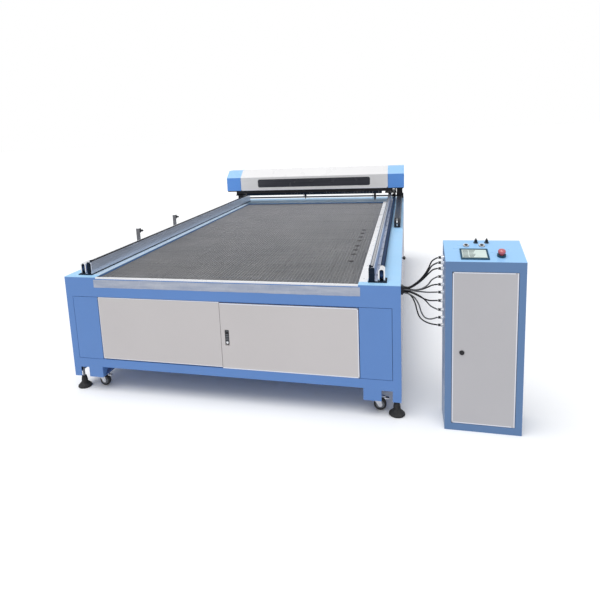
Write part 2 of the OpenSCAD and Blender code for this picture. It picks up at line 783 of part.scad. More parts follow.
// Beam with its guide strip, the head belt and its pulleys
x_rail_z = gantry_z + 46;
module gantry_beam() {
    beam_h2 = 100;
    color(steel) in_machine() {
        difference() {
            block([30, beam_y, gantry_z], [machine_w - 30, beam_y + x_beam_d, gantry_z + beam_h2]);
            block([29, beam_y + 8, gantry_z + 8],
                  [machine_w - 29, beam_y + x_beam_d - 8, gantry_z + beam_h2 - 8]);
        }
        block([60, beam_y - 10, x_rail_z], [machine_w - 60, beam_y, x_rail_z + 12]);
        // Belt above the guide strip with a pulley at each end
        for (z = [x_rail_z + 24, x_rail_z + 48])
            block([80, beam_y - 22, z], [machine_w - 80, beam_y - 10, z + 2]);
        both_sides() translate([80, beam_y - 22, x_rail_z + 37]) y_cylinder(26, 22);
    }
}

// Black carriages at both ends, the front skirt and the chain bracket
skirt_h = 38;
skirt_t = 8;
skirt_end_h = 12;
jaw_l = 60;
module gantry_end_plates() {
    plate_z = guide_top + 20;
    y0 = gantry_y + 58;
    y1 = gantry_back - 42;
    gx = rail_in - rail_w + 8;
    skirt_x = belt_x + 20;
    skirt_z = gantry_z - skirt_h;
    skirt_y = gantry_y + sheet_t + 2 + skirt_t;
    color(black) in_machine() {
        both_sides() {
            block([belt_x - 20, y0, plate_z], [rail_in + 36, y1, plate_z + 12]);
            for (x = [belt_x - 16, rail_in + 22])
                block([x, y0 + 10, plate_z + 12], [x + 10, y1 - 10, gantry_z]);
            // Bearing blocks astride the guide strip
            for (y = [y0 + 4, y1 - 74]) difference() {
                block([gx - 10, y, rail_top + 2], [gx + guide_w + 10, y + 70, plate_z]);
                block([gx - slip, y - 1, rail_top - 1], [gx + guide_w + slip, y + 71, guide_top + slip]);
            }
            // Jaws on the upper run of the belt
            block([belt_x - 12, y0 + jaw_l, pulley_z + pulley_r + belt_t + 2 * slip],
                  [belt_x + 12, y0 + 2 * jaw_l, plate_z]);
            // Arm that carries the skirt
            block([skirt_x, skirt_y + slip, skirt_z], [skirt_x + skirt_t, y0 + 20, gantry_z]);
            block([skirt_x, y0, plate_z + 11], [skirt_x + skirt_t, y0 + 20, skirt_z + 1]);
        }
        // Skirt below the front edge, lower between the carriages than under the end caps
        translate([0, skirt_y, 0]) rotate([90, 0, 0]) linear_extrude(skirt_t) {
            translate([skirt_x, skirt_z]) square([machine_w - 2 * skirt_x, skirt_h]);
            translate([cap_x0 + 6, gantry_z - skirt_end_h])
                square([machine_w - 2 * cap_x0 - 12, skirt_end_h]);
        }
        // Bracket that pulls the energy chain
        translate([machine_w, 0, 0]) mirror([1, 0, 0]) {
            block([chain_x - chain_w / 2 - 8, y0 + 20, chain_top - link_h - 6],
                  [chain_x + chain_w / 2 + 3, y0 + 30, gantry_z]);
            block([chain_x + chain_w / 2 + 3, y0 + 20, plate_z], [belt_x - 20, y0 + 30, plate_z + 12]);
        }
    }
}

// ---------------------------------------------------------------- energy chain

link_plate_t = 4;
link_bar_t = 3;
link_bar_l = 12;
link_lap = 0.4 * link_h;

// Side plate of a link of the given pitch, from pivot to pivot; an outer one laps
// over its neighbours with chamfered ends
module link_plate(pitch, outer) {
    h = link_h / 2;
    past = outer ? link_lap : 0;
    nose = [[-past, h / 2], [h / 2 - past, h], [pitch + past - h / 2, h], [pitch + past, h / 2]];
    rotate([90, 0, 90]) linear_extrude(link_plate_t)
        polygon(outer ? concat(nose, [for (i = [3 : -1 : 0]) [nose[i].x, -nose[i].y]])
                      : [[0, h], [pitch, h], [pitch, -h], [0, -h]]);
}

// One link: two side plates with a crossbar above and below
module link(pitch, outer) {
    inset = outer ? 0 : link_plate_t - eps;
    side = chain_w / 2 - inset;
    for (x = [-side, side - link_plate_t]) translate([x, 0, 0]) link_plate(pitch, outer);
    for (z = [-link_h / 2, link_h / 2 - link_bar_t])
        translate([-side, (pitch - link_bar_l) / 2, z]) cube([2 * side, link_bar_l, link_bar_t]);
}

// Straight run of links from y = 0, outer and inner ones in turn
module chain_straight(l) {
    links = 2 * floor(l / link_pitch / 2) + 1;
    for (i = [0 : links - 1]) translate([0, i * l / links, 0]) link(l / links, i % 2 == 0);
}

// Upper run, from the front loop to the bracket on the gantry
module chain_run() {
    corner = link_h / 2 * sin(90 / bend_links);
    color(black) in_machine()
        translate([machine_w - chain_x, loop_y + corner + link_lap + slip, chain_top - link_h / 2])
            chain_straight(chain_l - corner - 2 * (link_lap + slip));
}

// Links round the bend at the front with the lower run behind them
module chain_loop() {
    turn = 180 / bend_links;
    color(black) in_machine() translate([machine_w - chain_x, loop_y, chain_z + link_h / 2]) {
        chain_straight(chain_l);
        for (i = [0 : bend_links - 1])
            translate([0, 0, chain_r]) rotate([-i * turn, 0, 0]) translate([0, 0, -chain_r])
                rotate([180 - turn / 2, 0, 0]) mirror([0, 0, 1]) link(link_pitch, i % 2 == 1);
    }
}

// ---------------------------------------------------------------- cutting heads

// Carriage, head plate and clamp ring of one head centred at x = 0
module head_carriage(tip) {
    clamp_z = gantry_z - skirt_h;
    difference() {
        block([-36, beam_y - 30, x_rail_z - 12], [36, beam_y - slip, x_rail_z + 22]);
        block([-37, beam_y - 10 - slip, x_rail_z - slip], [37, beam_y, x_rail_z + 12 + slip]);
    }
    block([-30, beam_y - 36, clamp_z], [30, beam_y - 30, x_rail_z + 22]);
    // Shoe that grips the head belt
    block([-14, beam_y - 24, x_rail_z + 22], [14, beam_y - 8, x_rail_z + 24 - slip]);
    difference() {
        block([-19, head_y - 19, clamp_z], [19, beam_y - 36, clamp_z + 34]);
        translate([0, head_y, clamp_z - 1]) cylinder(d = tube_d + 2 * run_fit, h = 36);
    }
    // Air line beside the head
    translate([-24, head_y + 8, deck_z + tip + 18]) cylinder(d = 5, h = clamp_z - deck_z - tip - 10);
    block([-26.5, head_y + 5.5, clamp_z + 4], [-18, head_y + 10.5, clamp_z + 12]);
}

// Lens tube with its nozzle, focused by sliding in the clamp
module nozzle(tip) {
    tip_d = 9;
    tip_l = 12;
    cone_l = 16;
    tube_low = deck_z + tip + tip_l + cone_l;
    translate([0, head_y, 0]) {
        translate([0, 0, tube_low]) cylinder(d = tube_d, h = x_rail_z + 10 - tube_low);
        translate([0, 0, tube_low - cone_l]) cylinder(d1 = tip_d, d2 = tube_d, h = cone_l);
        translate([0, 0, tube_low - cone_l - tip_l]) cylinder(d = tip_d, h = tip_l + eps);
    }
}

left_head_x = machine_w / 2 + head_x;
right_head_x = left_head_x + head_pitch;
module head_left() color(black) in_machine() translate([left_head_x, 0, 0]) head_carriage(left_tip);
module head_right() color(black) in_machine() translate([right_head_x, 0, 0]) head_carriage(right_tip);
module nozzle_left() color(black) in_machine() translate([left_head_x, 0, 0]) nozzle(left_tip);
module nozzle_right() color(black) in_machine() translate([right_head_x, 0, 0]) nozzle(right_tip);

// ---------------------------------------------------------------- console

// Side outline of the console inset by t
function console_outline(t) =
    let (knee = t * tan((90 - panel_tilt) / 2), brow = t * tan(panel_tilt / 2))
    [[t, t], [t, console_h - knee], [panel_run + brow, console_h + panel_rise - t],
     [console_d - t, console_h + panel_rise - t], [console_d - t, t]];

module console_core(t, x0, x1) {
    translate([console_x + x0, -console_fwd, 0]) rotate([90, 0, 90]) linear_extrude(x1 - x0)
        polygon(console_outline(t));
}

// Moves a shape onto the sloping panel: u across, v up the slope, z outwards
module on_panel(u, v) {
    translate([console_x + u, -console_fwd, console_h]) rotate([panel_tilt, 0, 0])
        translate([0, v, 0]) children();
}

// Mounting plate on the console's rear wall with the drives, the supply and the controller
module_plate_t = 3;
module_plate_margin = 40;
drive_w = 110;
drive_d = 80;
drive_h = 150;
drive_gap = 40;
module drive(place, depth_share, h) {
    d = depth_share * drive_d;
    translate([place.x, -slip - d, place.y]) cube([drive_w, d, h]);
}
module console_modules() {
    u = [module_plate_margin + drive_gap / 2, console_w - module_plate_margin - drive_gap / 2 - drive_w];
    z0 = 1.5 * module_plate_margin;
    translate([console_x, console_d - console_fwd - sheet_t - slip - module_plate_t, 0]) {
        translate([module_plate_margin, 0, z0])
            cube([console_w - 2 * module_plate_margin, module_plate_t, console_h - 4 * module_plate_margin]);
        for (i = [0 : 2])
            drive([u[0], z0 + drive_gap + i * (drive_h + drive_gap)], 1, drive_h);
        drive([u[1], z0 + drive_gap], 0.9, 1.7 * drive_h);
        drive([u[1], z0 + 2 * drive_gap + 2.8 * drive_h], 0.8, 1.4 * drive_h);
    }
}

hatch_x = (console_w - hatch_w) / 2;
bezel_w = 143;
bezel_h = 104;
bezel_u = 80;
bezel_v = 22;
estop_u = 285;
estop_v = 62;
button_u = [118, 200];
button_v = 166;
selector_u = [172, 228];
selector_v = 198;
module console_body() {
    lip_w = 14;
    color(frame_blue) in_machine() {
        difference() {
            console_core(0, 0, console_w);
            console_core(sheet_t, sheet_t, console_w - sheet_t);
            block([console_x + hatch_x, -console_fwd - 1, hatch_z],
                  [console_x + hatch_x + hatch_w, -console_fwd + sheet_t + 1, hatch_z + hatch_h]);
            on_panel(estop_u, estop_v) translate([0, 0, -5]) cylinder(d = button_d + 2 * run_fit, h = 10);
            for (u = button_u) on_panel(u, button_v) translate([0, 0, -5])
                cylinder(d = button_d - 4 + 2 * run_fit, h = 10);
            for (u = selector_u) on_panel(u, selector_v) translate([0, 0, -5])
                cylinder(d = button_d - 8 + 2 * run_fit, h = 10);
        }
        // Return lips round the door opening
        difference() {
            translate([console_x + hatch_x - sheet_t, -console_fwd + sheet_t, hatch_z - sheet_t])
                cube([hatch_w + 2 * sheet_t, lip_w, hatch_h + 2 * sheet_t]);
            translate([console_x + hatch_x, -console_fwd, hatch_z]) cube([hatch_w, lip_w + 9, hatch_h]);
        }
        console_modules();
        // Hinge pins of the door
        for (z = [hatch_z - 1, hatch_z + hatch_h - 8])
            translate([console_x + hatch_x + hatch_w - hinge_x, -console_fwd + hinge_y, z])
                cylinder(d = pin_d, h = 9);
        translate([console_x + hatch_x + hatch_w - hinge_x, -console_fwd + hinge_y, hatch_z - 1])
            cylinder(d = pin_d + 3, h = 1 + panel_gap - slip);
    }
}

lock_d = 19;
lock_x = 50;
lock_z = 463;
module console_door() {
    w = hatch_w - 2 * panel_gap;
    h = hatch_h - 2 * panel_gap;
    color(panel_grey) in_machine()
        translate([console_x + hatch_x + panel_gap, -console_fwd, hatch_z + panel_gap]) difference() {
            tray(w, h, flange, sheet_t);
            for (z = [-1, h - sheet_t - 1])
                translate([w - 6, hinge_y, z]) cylinder(d = pin_d + 2 * run_fit, h = sheet_t + 2);
            translate([lock_x, -1, lock_z - hatch_z - panel_gap])
                y_cylinder(lock_d + 2 * run_fit, sheet_t + 2);
        }
}

// Cam lock: rosette, barrel and cam
module console_lock() {
    color(black) in_machine()
        translate([console_x + hatch_x + panel_gap + lock_x, -console_fwd, lock_z]) {
            difference() {
                translate([0, -4, 0]) y_cylinder(lock_d + 7, 4 - slip);
                block([-1, -5, -6], [1, -2.5, 6]);
            }
            translate([0, -1, 0]) y_cylinder(lock_d, flange + 6);
            translate([-7, flange + 5, -7]) cube([14, 2.5, lock_x + panel_gap + 18]);
        }
}

// Bezel and screen of the display, collars of the switches
collar_h = 5;
module panel_fittings() {
    color(black) in_machine() {
        on_panel(bezel_u, bezel_v) difference() {
            cube([bezel_w, bezel_h, 6]);
            translate([9, 9, 3]) cube([bezel_w - 18, bezel_h - 18, 4]);
        }
        on_panel(estop_u, estop_v) collar(button_d + 22, button_d, collar_h + 5);
        for (u = button_u) on_panel(u, button_v) collar(button_d + 8, button_d - 4, collar_h);
        for (u = selector_u) on_panel(u, selector_v) collar(button_d, button_d - 8, collar_h);
    }
}
module collar(outer, inner, h) {
    difference() {
        cylinder(d = outer, h = h);
        translate([0, 0, -1]) cylinder(d = inner + 2 * run_fit, h = h + 2);
    }
}

// Mushroom head on its stem, with room for its travel above the collar
module estop_button() {
    color("crimson") in_machine() on_panel(estop_u, estop_v) {
        translate([0, 0, -14]) cylinder(d = button_d, h = 34);
        translate([0, 0, 18]) rotate_extrude() polygon([
            [0, 0], [estop_d / 2 - 4, 0], [estop_d / 2, 5], [estop_d / 2, 14],
            [estop_d / 2 - 3, 19], [estop_d / 2 - 10, 22], [0, 23]]);
    }
}
module push_button() {
    translate([0, 0, -12]) cylinder(d = button_d - 4, h = 12 + collar_h + 1.5);
}
module button_start() color("seagreen") in_machine() on_panel(button_u[0], button_v) push_button();
module button_stop() color("firebrick") in_machine() on_panel(button_u[1], button_v) push_button();

// Tall rotary selector with a rounded grip across its top
module selector() {
    grip_w = 6;
    translate([0, 0, -12]) cylinder(d = button_d - 8, h = 20);
    translate([0, 0, collar_h + slip]) cylinder(d = selector_d, h = 13);
    translate([-grip_w / 2, 0, collar_h + 16]) x_cylinder(selector_d - 1, grip_w);
    block([-grip_w / 2, -selector_d / 2 + 1, collar_h + 12], [grip_w / 2, selector_d / 2 - 1, collar_h + 16]);
}
module selector_left() color(black) in_machine() on_panel(selector_u[0], selector_v) selector();
module selector_right() color(black) in_machine() on_panel(selector_u[1], selector_v) selector();

// ---------------------------------------------------------------- cabling

// Block on the machine's right side that the cabling comes out of
gland_t = 12;
gland_w = 40;
gland_h = 50;
gland_y = 60;
gland_z = 744;
module cable_gland() {
    color(black) in_machine() translate([machine_w, gland_y, gland_z]) cube([gland_t, gland_w, gland_h]);
}

// Connectors on the console's left side: flange, coupling ring and boot
plug_y = 100;
plug_z = [958, 928, 894, 846, 800, 754, 704, 650, 603, 557];
plug_l = 30;
plug_flange_t = 3;
plug_ring_l = 14;
module cable_plugs() {
    color(steel) in_machine() for (z = plug_z) translate([console_x, plug_y, z]) {
        translate([-plug_flange_t, 0, 0]) x_cylinder(25, plug_flange_t);
        translate([-plug_ring_l, 0, 0]) x_cylinder(20, plug_ring_l);
        translate([-plug_l, 0, 0]) x_cylinder(13, plug_l);
    }
}

// Routes of the ten cords, from the gland to the connectors, in machine coordinates
routes = [
    [[2212, 80, 784], [2246, 80, 785], [2276, 82, 803], [2304, 85, 827], [2332, 89, 861],
     [2354, 93, 899], [2372, 97, 937], [2404, 100, 958]],
    [[2212, 70, 784], [2246, 70, 782], [2276, 72, 797], [2304, 76, 820], [2332, 81, 851],
     [2352, 86, 881], [2372, 93, 911], [2404, 100, 928]],
    [[2212, 90, 784], [2246, 90, 781], [2278, 91, 794], [2308, 93, 816], [2336, 95, 844],
     [2358, 97, 868], [2378, 99, 886], [2404, 100, 894]],
    [[2212, 70, 774], [2248, 70, 771], [2284, 72, 772], [2318, 77, 780], [2348, 84, 799],
     [2372, 93, 829], [2404, 100, 846]],
    [[2212, 90, 774], [2248, 90, 769], [2284, 90, 766], [2318, 91, 771], [2346, 94, 782],
     [2372, 98, 794], [2404, 100, 800]],
    [[2212, 80, 774], [2246, 80, 768], [2280, 81, 762], [2314, 85, 758], [2346, 91, 754],
     [2374, 97, 753], [2404, 100, 754]],
    [[2212, 80, 764], [2246, 79, 756], [2278, 78, 744], [2308, 80, 728], [2336, 85, 713],
     [2366, 94, 704], [2404, 100, 704]],
    [[2212, 90, 764], [2246, 90, 757], [2280, 90, 745], [2312, 91, 726], [2340, 93, 700],
     [2366, 96, 670], [2404, 100, 650]],
    [[2212, 70, 754], [2244, 70, 747], [2274, 71, 727], [2298, 74, 688], [2312, 80, 640],
     [2332, 88, 604], [2364, 96, 592], [2404, 100, 603]],
    [[2212, 90, 754], [2240, 90, 745], [2264, 90, 720], [2280, 91, 682], [2290, 93, 640],
     [2304, 95, 602], [2330, 98, 577], [2366, 100, 562], [2404, 100, 557]]
];

// Point at parameter t between knots i and i + 1 of a smooth curve
function knot(p, i) = p[max(0, min(len(p) - 1, i))];
function curve_point(p, i, t) =
    let (a = knot(p, i - 1), b = knot(p, i), c = knot(p, i + 1), d = knot(p, i + 2))
    0.5 * (2 * b + (c - a) * t + (2 * a - 5 * b + 4 * c - d) * t * t + (3 * b - a - 3 * c + d) * t * t * t);
cord_steps = 2;
function route_points(p) = concat(
    [for (i = [0 : len(p) - 2], k = [0 : cord_steps - 1]) curve_point(p, i, k / cord_steps)], [p[len(p) - 1]]);
function unit(v) = v / norm(v);
function heading(q, i) =
    i == 0 || i == len(q) - 1 ? [1, 0, 0] : unit(q[i + 1] - q[i - 1]);

// Tube of cord_d swept along the smooth curve through a route
module cord(route) {
    q = route_points(route);
    sides = 10;
    ring = [for (i = [0 : len(q) - 1], s = [0 : sides - 1])
        let (f = heading(q, i), across = unit(cross([0, 1, 0], f)), up = cross(f, across))
        q[i] + cord_d / 2 * (across * cos(360 * s / sides) + up * sin(360 * s / sides))];
    walls = [for (i = [0 : len(q) - 2], s = [0 : sides - 1], half = [0, 1])
        let (a = i * sides + s, b = i * sides + (s + 1) % sides)
        half == 0 ? [a, b, b + sides] : [a, b + sides, a + sides]];
    ends = [[for (s = [0 : sides - 1]) sides - 1 - s],
            [for (s = [0 : sides - 1]) (len(q) - 1) * sides + s]];
    color(black) in_machine() polyhedron(ring, concat(walls, ends));
}
module cord_1() cord(routes[0]);
module cord_2() cord(routes[1]);
module cord_3() cord(routes[2]);
module cord_4() cord(routes[3]);
module cord_5() cord(routes[4]);
module cord_6() cord(routes[5]);
module cord_7() cord(routes[6]);
module cord_8() cord(routes[7]);
module cord_9() cord(routes[8]);
module cord_10() cord(routes[9]);

frame();
deck();
column_covers();
body_panels();
bed_edge_trim();
honeycomb_bed();
rails();
rail_base_plates();
tensioner_blocks();
y_belts();
y_drive_mounts();
side_posts();
cable_gland();
foot_pads();
foot_stems();
console_body();
panel_fittings();
cable_plugs();
cord_1();
cord_2();
cord_3();
cord_4();
cord_5();
cord_6();
cord_7();
cord_8();
cord_9();
cord_10();
gantry_beam();
gantry_end_plates();
gantry_cover();
gantry_window();
gantry_end_caps();
chain_run();
chain_loop();
head_left();
head_right();
nozzle_left();
nozzle_right();
y_idler_left();
y_idler_right();
y_shaft();
door_left();
door_right();
latch_lever();
caster_fork_fl();
caster_fork_fr();
caster_fork_rl();
caster_fork_rr();
caster_wheel_fl();
caster_wheel_fr();
caster_wheel_rl();
caster_wheel_rr();
console_door();
console_lock();
estop_button();
button_start();
button_stop();
selector_left();
selector_right();
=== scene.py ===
"""Looks of the gantry flatbed cutting machine and its free-standing console.

Places are in metres from the cabinet's front left corner on the floor, which at() moves
into the row frame, as in_machine() does in the part's source.
"""
import math

import bmesh
import bpy
from mathutils import Matrix, Vector, noise


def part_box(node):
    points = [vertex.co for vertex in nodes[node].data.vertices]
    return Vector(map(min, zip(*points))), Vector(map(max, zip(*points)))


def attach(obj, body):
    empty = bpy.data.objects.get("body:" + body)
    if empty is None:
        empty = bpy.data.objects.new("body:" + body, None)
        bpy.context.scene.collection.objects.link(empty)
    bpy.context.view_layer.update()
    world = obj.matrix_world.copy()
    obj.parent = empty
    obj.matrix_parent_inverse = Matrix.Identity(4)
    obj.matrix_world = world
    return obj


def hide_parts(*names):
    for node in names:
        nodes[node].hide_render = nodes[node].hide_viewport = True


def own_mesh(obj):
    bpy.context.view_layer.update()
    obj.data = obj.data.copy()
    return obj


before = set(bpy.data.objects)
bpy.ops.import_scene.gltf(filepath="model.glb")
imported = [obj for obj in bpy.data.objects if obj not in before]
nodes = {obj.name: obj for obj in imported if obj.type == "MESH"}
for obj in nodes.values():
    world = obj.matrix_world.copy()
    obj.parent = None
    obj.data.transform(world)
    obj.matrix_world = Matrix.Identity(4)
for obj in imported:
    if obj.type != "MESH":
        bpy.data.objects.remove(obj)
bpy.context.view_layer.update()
scene = bpy.context.scene

deck_low, deck_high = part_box("deck")
corner = Vector((deck_low.x, deck_low.y, 0.0))
machine_w = deck_high.x - deck_low.x
machine_l = deck_high.y - deck_low.y
deck_top = deck_high.z

UP = Vector((0, 0, 1))
SIDES = ("left", "right")

# Sizes and places that the part's source has too
CORNERS = ("fl", "fr", "rl", "rr")
COMB_PANELS = 8
POST_PITCH = 0.710
FOOT_D = 0.096
GUIDE_H = 0.008
LINK_PITCH, LINK_H = 0.028, 0.022
CONSOLE_X, CONSOLE_FWD, CONSOLE_H = 2.434, 0.055, 0.974
PANEL_RUN, PANEL_RISE = 0.208, 0.070
PUSH_BUTTONS = ((0.118, 0.166), (0.200, 0.166))
SELECTORS = {"left": (0.172, 0.198), "right": (0.228, 0.198)}


def at(x, y, z):
    """A point of the machine, from the cabinet's front left corner, in the row frame."""
    return corner + Vector((x, y, z))


def span(node):
    """The two far corners of a node, in machine coordinates."""
    low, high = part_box(node)
    return low - corner, high - corner


def linked(name, data):
    """New object of some data in the scene."""
    obj = bpy.data.objects.new(name, data)
    scene.collection.objects.link(obj)
    return obj


# Frame of the console's panel: u to the right, v up its slope, w out of it
PANEL = (Matrix.Translation(at(CONSOLE_X, -CONSOLE_FWD, CONSOLE_H))
         @ Matrix.Rotation(math.atan2(PANEL_RISE, PANEL_RUN), 4, "X"))


# ---------- camera

def make_camera():
    """Camera at the operator's side, in front of the machine's right edge, slightly rolled."""
    yaw, pitch, roll = math.radians(-15.37), math.radians(9.31), math.radians(-2.87)
    forward = Vector((math.sin(yaw) * math.cos(pitch), math.cos(yaw) * math.cos(pitch),
                      -math.sin(pitch)))
    level = Vector((math.cos(yaw), -math.sin(yaw), 0.0))
    upward = level.cross(forward)
    right = math.cos(roll) * level + math.sin(roll) * upward
    up = -math.sin(roll) * level + math.cos(roll) * upward
    data = bpy.data.cameras.new("camera")
    data.sensor_width = 36.0
    data.lens = 30.56
    data.shift_x, data.shift_y = 0.0523, -0.135
    data.clip_start, data.clip_end = 0.05, 200.0
    cam = linked("camera", data)
    turn = Matrix((right, up, -forward)).transposed()
    cam.matrix_world = Matrix.Translation(at(2.2342, -2.8533, 1.686)) @ turn.to_4x4()
    scene.camera = cam


make_camera()


# ---------- node helpers

def fill(node, values):
    """Sets constants on a shader node's inputs."""
    for socket, value in values.items():
        node.inputs[socket].default_value = value


class Finish:
    """One material: a Principled shader and short calls that wire detail into it."""

    def __init__(self, name, colour, roughness, metallic=0.0, specular=0.5, coat=0.0):
        self.material = bpy.data.materials.new(name)
        self.material.use_nodes = True
        self.tree = self.material.node_tree
        self.shader = self.tree.nodes["Principled BSDF"]
        fill(self.shader, {"Base Color": (*colour, 1.0), "Roughness": roughness, "Metallic": metallic,
                           "Specular IOR Level": specular, "Coat Weight": coat, "Coat Roughness": 0.12})
        self.colour, self.roughness = colour, roughness
        self.place = self.tree.nodes.new("ShaderNodeTexCoord").outputs["Object"]
        self.height = None

    def link(self, out, into):
        """Wires a node's output into a socket."""
        self.tree.links.new(out, into)

    def add(self, kind, values):
        """New shader node with constants on its inputs."""
        node = self.tree.nodes.new(f"ShaderNode{kind}")
        fill(node, values)
        return node

    def spot(self, scale=(1.0, 1.0, 1.0)):
        """Object coordinates in metres, stretched by scale."""
        node = self.add("Mapping", {"Scale": scale})
        self.link(self.place, node.inputs["Vector"])
        return node.outputs["Vector"]

    def along(self, axis):
        """One object coordinate, in metres."""
        node = self.add("SeparateXYZ", {})
        self.link(self.place, node.inputs["Vector"])
        return node.outputs[axis]

    def noise(self, scale, detail=3.0, stretch=(1.0, 1.0, 1.0), sharp=0.5):
        """Noise between 0 and 1, rougher as sharp grows."""
        node = self.add("TexNoise", {"Scale": scale, "Detail": detail, "Roughness": sharp})
        self.link(self.spot(stretch), node.inputs["Vector"])
        return node.outputs["Fac"]

    def spread(self, value, low=0.0, high=1.0, start=0.3, end=0.7):
        """Value between start and end, laid out from low to high."""
        node = self.add("MapRange", {"From Min": start, "From Max": end, "To Min": low, "To Max": high})
        self.link(value, node.inputs["Value"])
        return node.outputs["Result"]

    def maths(self, kind, a, b):
        """Result of one operation on two numbers or outputs."""
        node = self.add("Math", {})
        node.operation = kind
        for socket, value in zip(node.inputs, (a, b)):
            if isinstance(value, (int, float)):
                socket.default_value = value
            else:
                self.link(value, socket)
        return node.outputs["Value"]

    def blend(self, share, a, b):
        """Colour from a to b; each is a colour or another node's output."""
        node = self.add("Mix", {})
        node.data_type = "RGBA"
        self.link(share, node.inputs["Factor"])
        for index, value in ((6, a), (7, b)):
            if isinstance(value, tuple):
                node.inputs[index].default_value = (*value, 1.0)
            else:
                self.link(value, node.inputs[index])
        return node.outputs[2]

    def paint(self, colour):
        """Sets the base colour from a node's output."""
        self.link(colour, self.shader.inputs["Base Color"])

    def uneven(self, scale, detail, low, high):
        """Roughness that drifts from low to high."""
        self.link(self.spread(self.noise(scale, detail), low, high), self.shader.inputs["Roughness"])

    def relief(self, height, depth, strength):
        """Adds a bump of that depth, in metres, over the bumps made before."""
        node = self.add("Bump", {"Distance": depth, "Strength": strength})
        self.link(height, node.inputs["Height"])
        if self.height is not None:
            self.link(self.height, node.inputs["Normal"])
        self.height = node.outputs["Normal"]
        self.link(self.height, self.shader.inputs["Normal"])

    def grain(self, scale, detail, depth, strength):
        """Relief of plain noise."""
        self.relief(self.noise(scale, detail), depth, strength)


def tint(colour, share):
    """Colour made lighter or darker by a share."""
    return tuple(min(1.0, c * share) for c in colour)


def clouded(finish, scale, spread, speckle=0.0):
    """Large soft patches of lighter and darker colour, with fine speckle over them."""
    patches = finish.blend(finish.spread(finish.noise(scale, 3.0)),
                           tint(finish.colour, 1.0 - spread), tint(finish.colour, 1.0 + spread))
    if speckle:
        fine = finish.maths("MULTIPLY", finish.spread(finish.noise(900.0, 2.0)), speckle)
        patches = finish.blend(fine, patches, tint(finish.colour, 0.72))
    finish.paint(patches)


# ---------- materials

def powder_coat(name, colour, roughness=0.36, spread=0.03, specular=0.5, coat=0.15):
    """Sprayed powder coat: faint orange peel, soft patches and a little dust."""
    finish = Finish(name, colour, roughness, specular=specular, coat=coat)
    clouded(finish, 2.2, spread, 0.06)
    finish.uneven(6.0, 4.0, roughness - 0.06, roughness + 0.08)
    finish.grain(320.0, 2.0, 0.00012, 0.6)
    finish.grain(1.6, 1.0, 0.002, 0.15)
    return finish.material


def textured_coat(name, colour):
    """Matt, finely wrinkled coat of the doors and panels."""
    finish = Finish(name, colour, 0.55, specular=0.4)
    clouded(finish, 1.4, 0.025, 0.10)
    finish.uneven(40.0, 3.0, 0.48, 0.62)
    finish.relief(finish.noise(520.0, 4.0, sharp=0.7), 0.00025, 0.7)
    finish.grain(1.1, 1.0, 0.003, 0.12)
    return finish.material


def extrusion(name, colour):
    """Anodised aluminium profile with fine die lines along Y."""
    finish = Finish(name, colour, 0.34, metallic=0.75)
    lines = finish.noise(1.0, stretch=(900.0, 0.7, 900.0))
    finish.paint(finish.blend(finish.spread(lines), tint(colour, 0.9), tint(colour, 1.06)))
    finish.uneven(12.0, 3.0, 0.29, 0.43)
    finish.relief(lines, 0.0001, 0.5)
    return finish.material


def plated(name, colour=(0.56, 0.57, 0.60), roughness=0.3):
    """Zinc-plated steel with cloudy patches."""
    finish = Finish(name, colour, roughness, metallic=0.95)
    clouded(finish, 45.0, 0.12)
    finish.uneven(120.0, 4.0, roughness - 0.08, roughness + 0.16)
    finish.grain(400.0, 2.0, 0.0001, 0.4)
    return finish.material


def black_paint(name, colour=(0.011, 0.011, 0.014), roughness=0.45, specular=0.2):
    """Black painted steel with rubbed, greyer patches."""
    finish = Finish(name, colour, roughness, specular=specular)
    worn = finish.spread(finish.noise(26.0, 5.0, sharp=0.65), 0.0, 0.35, 0.5, 0.85)
    finish.paint(finish.blend(worn, colour, tuple(c + 0.045 for c in colour)))
    finish.uneven(60.0, 3.0, roughness - 0.1, roughness + 0.12)
    finish.grain(350.0, 3.0, 0.00015, 0.6)
    return finish.material


def moulded(name, colour, roughness, specular=0.5, texture=0.0001):
    """Moulded plastic with an eroded tool texture."""
    finish = Finish(name, colour, roughness, specular=specular)
    clouded(finish, 30.0, 0.08)
    finish.uneven(200.0, 3.0, roughness - 0.06, roughness + 0.1)
    finish.grain(1400.0, 2.0, texture, 0.6)
    return finish.material


def rubber(name):
    """Black rubber, dusty in patches."""
    finish = Finish(name, (0.022, 0.022, 0.024), 0.7, specular=0.3)
    dust = finish.spread(finish.noise(55.0, 5.0, sharp=0.7), 0.0, 0.35, 0.45, 0.8)
    finish.paint(finish.blend(dust, finish.colour, (0.14, 0.135, 0.125)))
    finish.uneven(90.0, 3.0, 0.6, 0.8)
    finish.grain(500.0, 3.0, 0.0002, 0.6)
    return finish.material


def toothed_belt(name):
    """Belt rubber with teeth across it at a 5 mm pitch, tinted navy as painted shade and a painted
    reflection of the blue deck.
    """
    finish = Finish(name, (0.012, 0.032, 0.085), 0.62, specular=0.12)
    wave = finish.add("TexWave", {"Scale": 62.8})    # one wave is 5 mm long
    wave.bands_direction = "Y"
    finish.link(finish.spot(), wave.inputs["Vector"])
    teeth = finish.spread(wave.outputs["Fac"], start=0.35, end=0.65)
    finish.paint(finish.blend(teeth, (0.007, 0.022, 0.062), (0.020, 0.050, 0.125)))
    finish.uneven(70.0, 3.0, 0.55, 0.75)
    finish.relief(teeth, 0.0012, 0.8)
    return finish.material


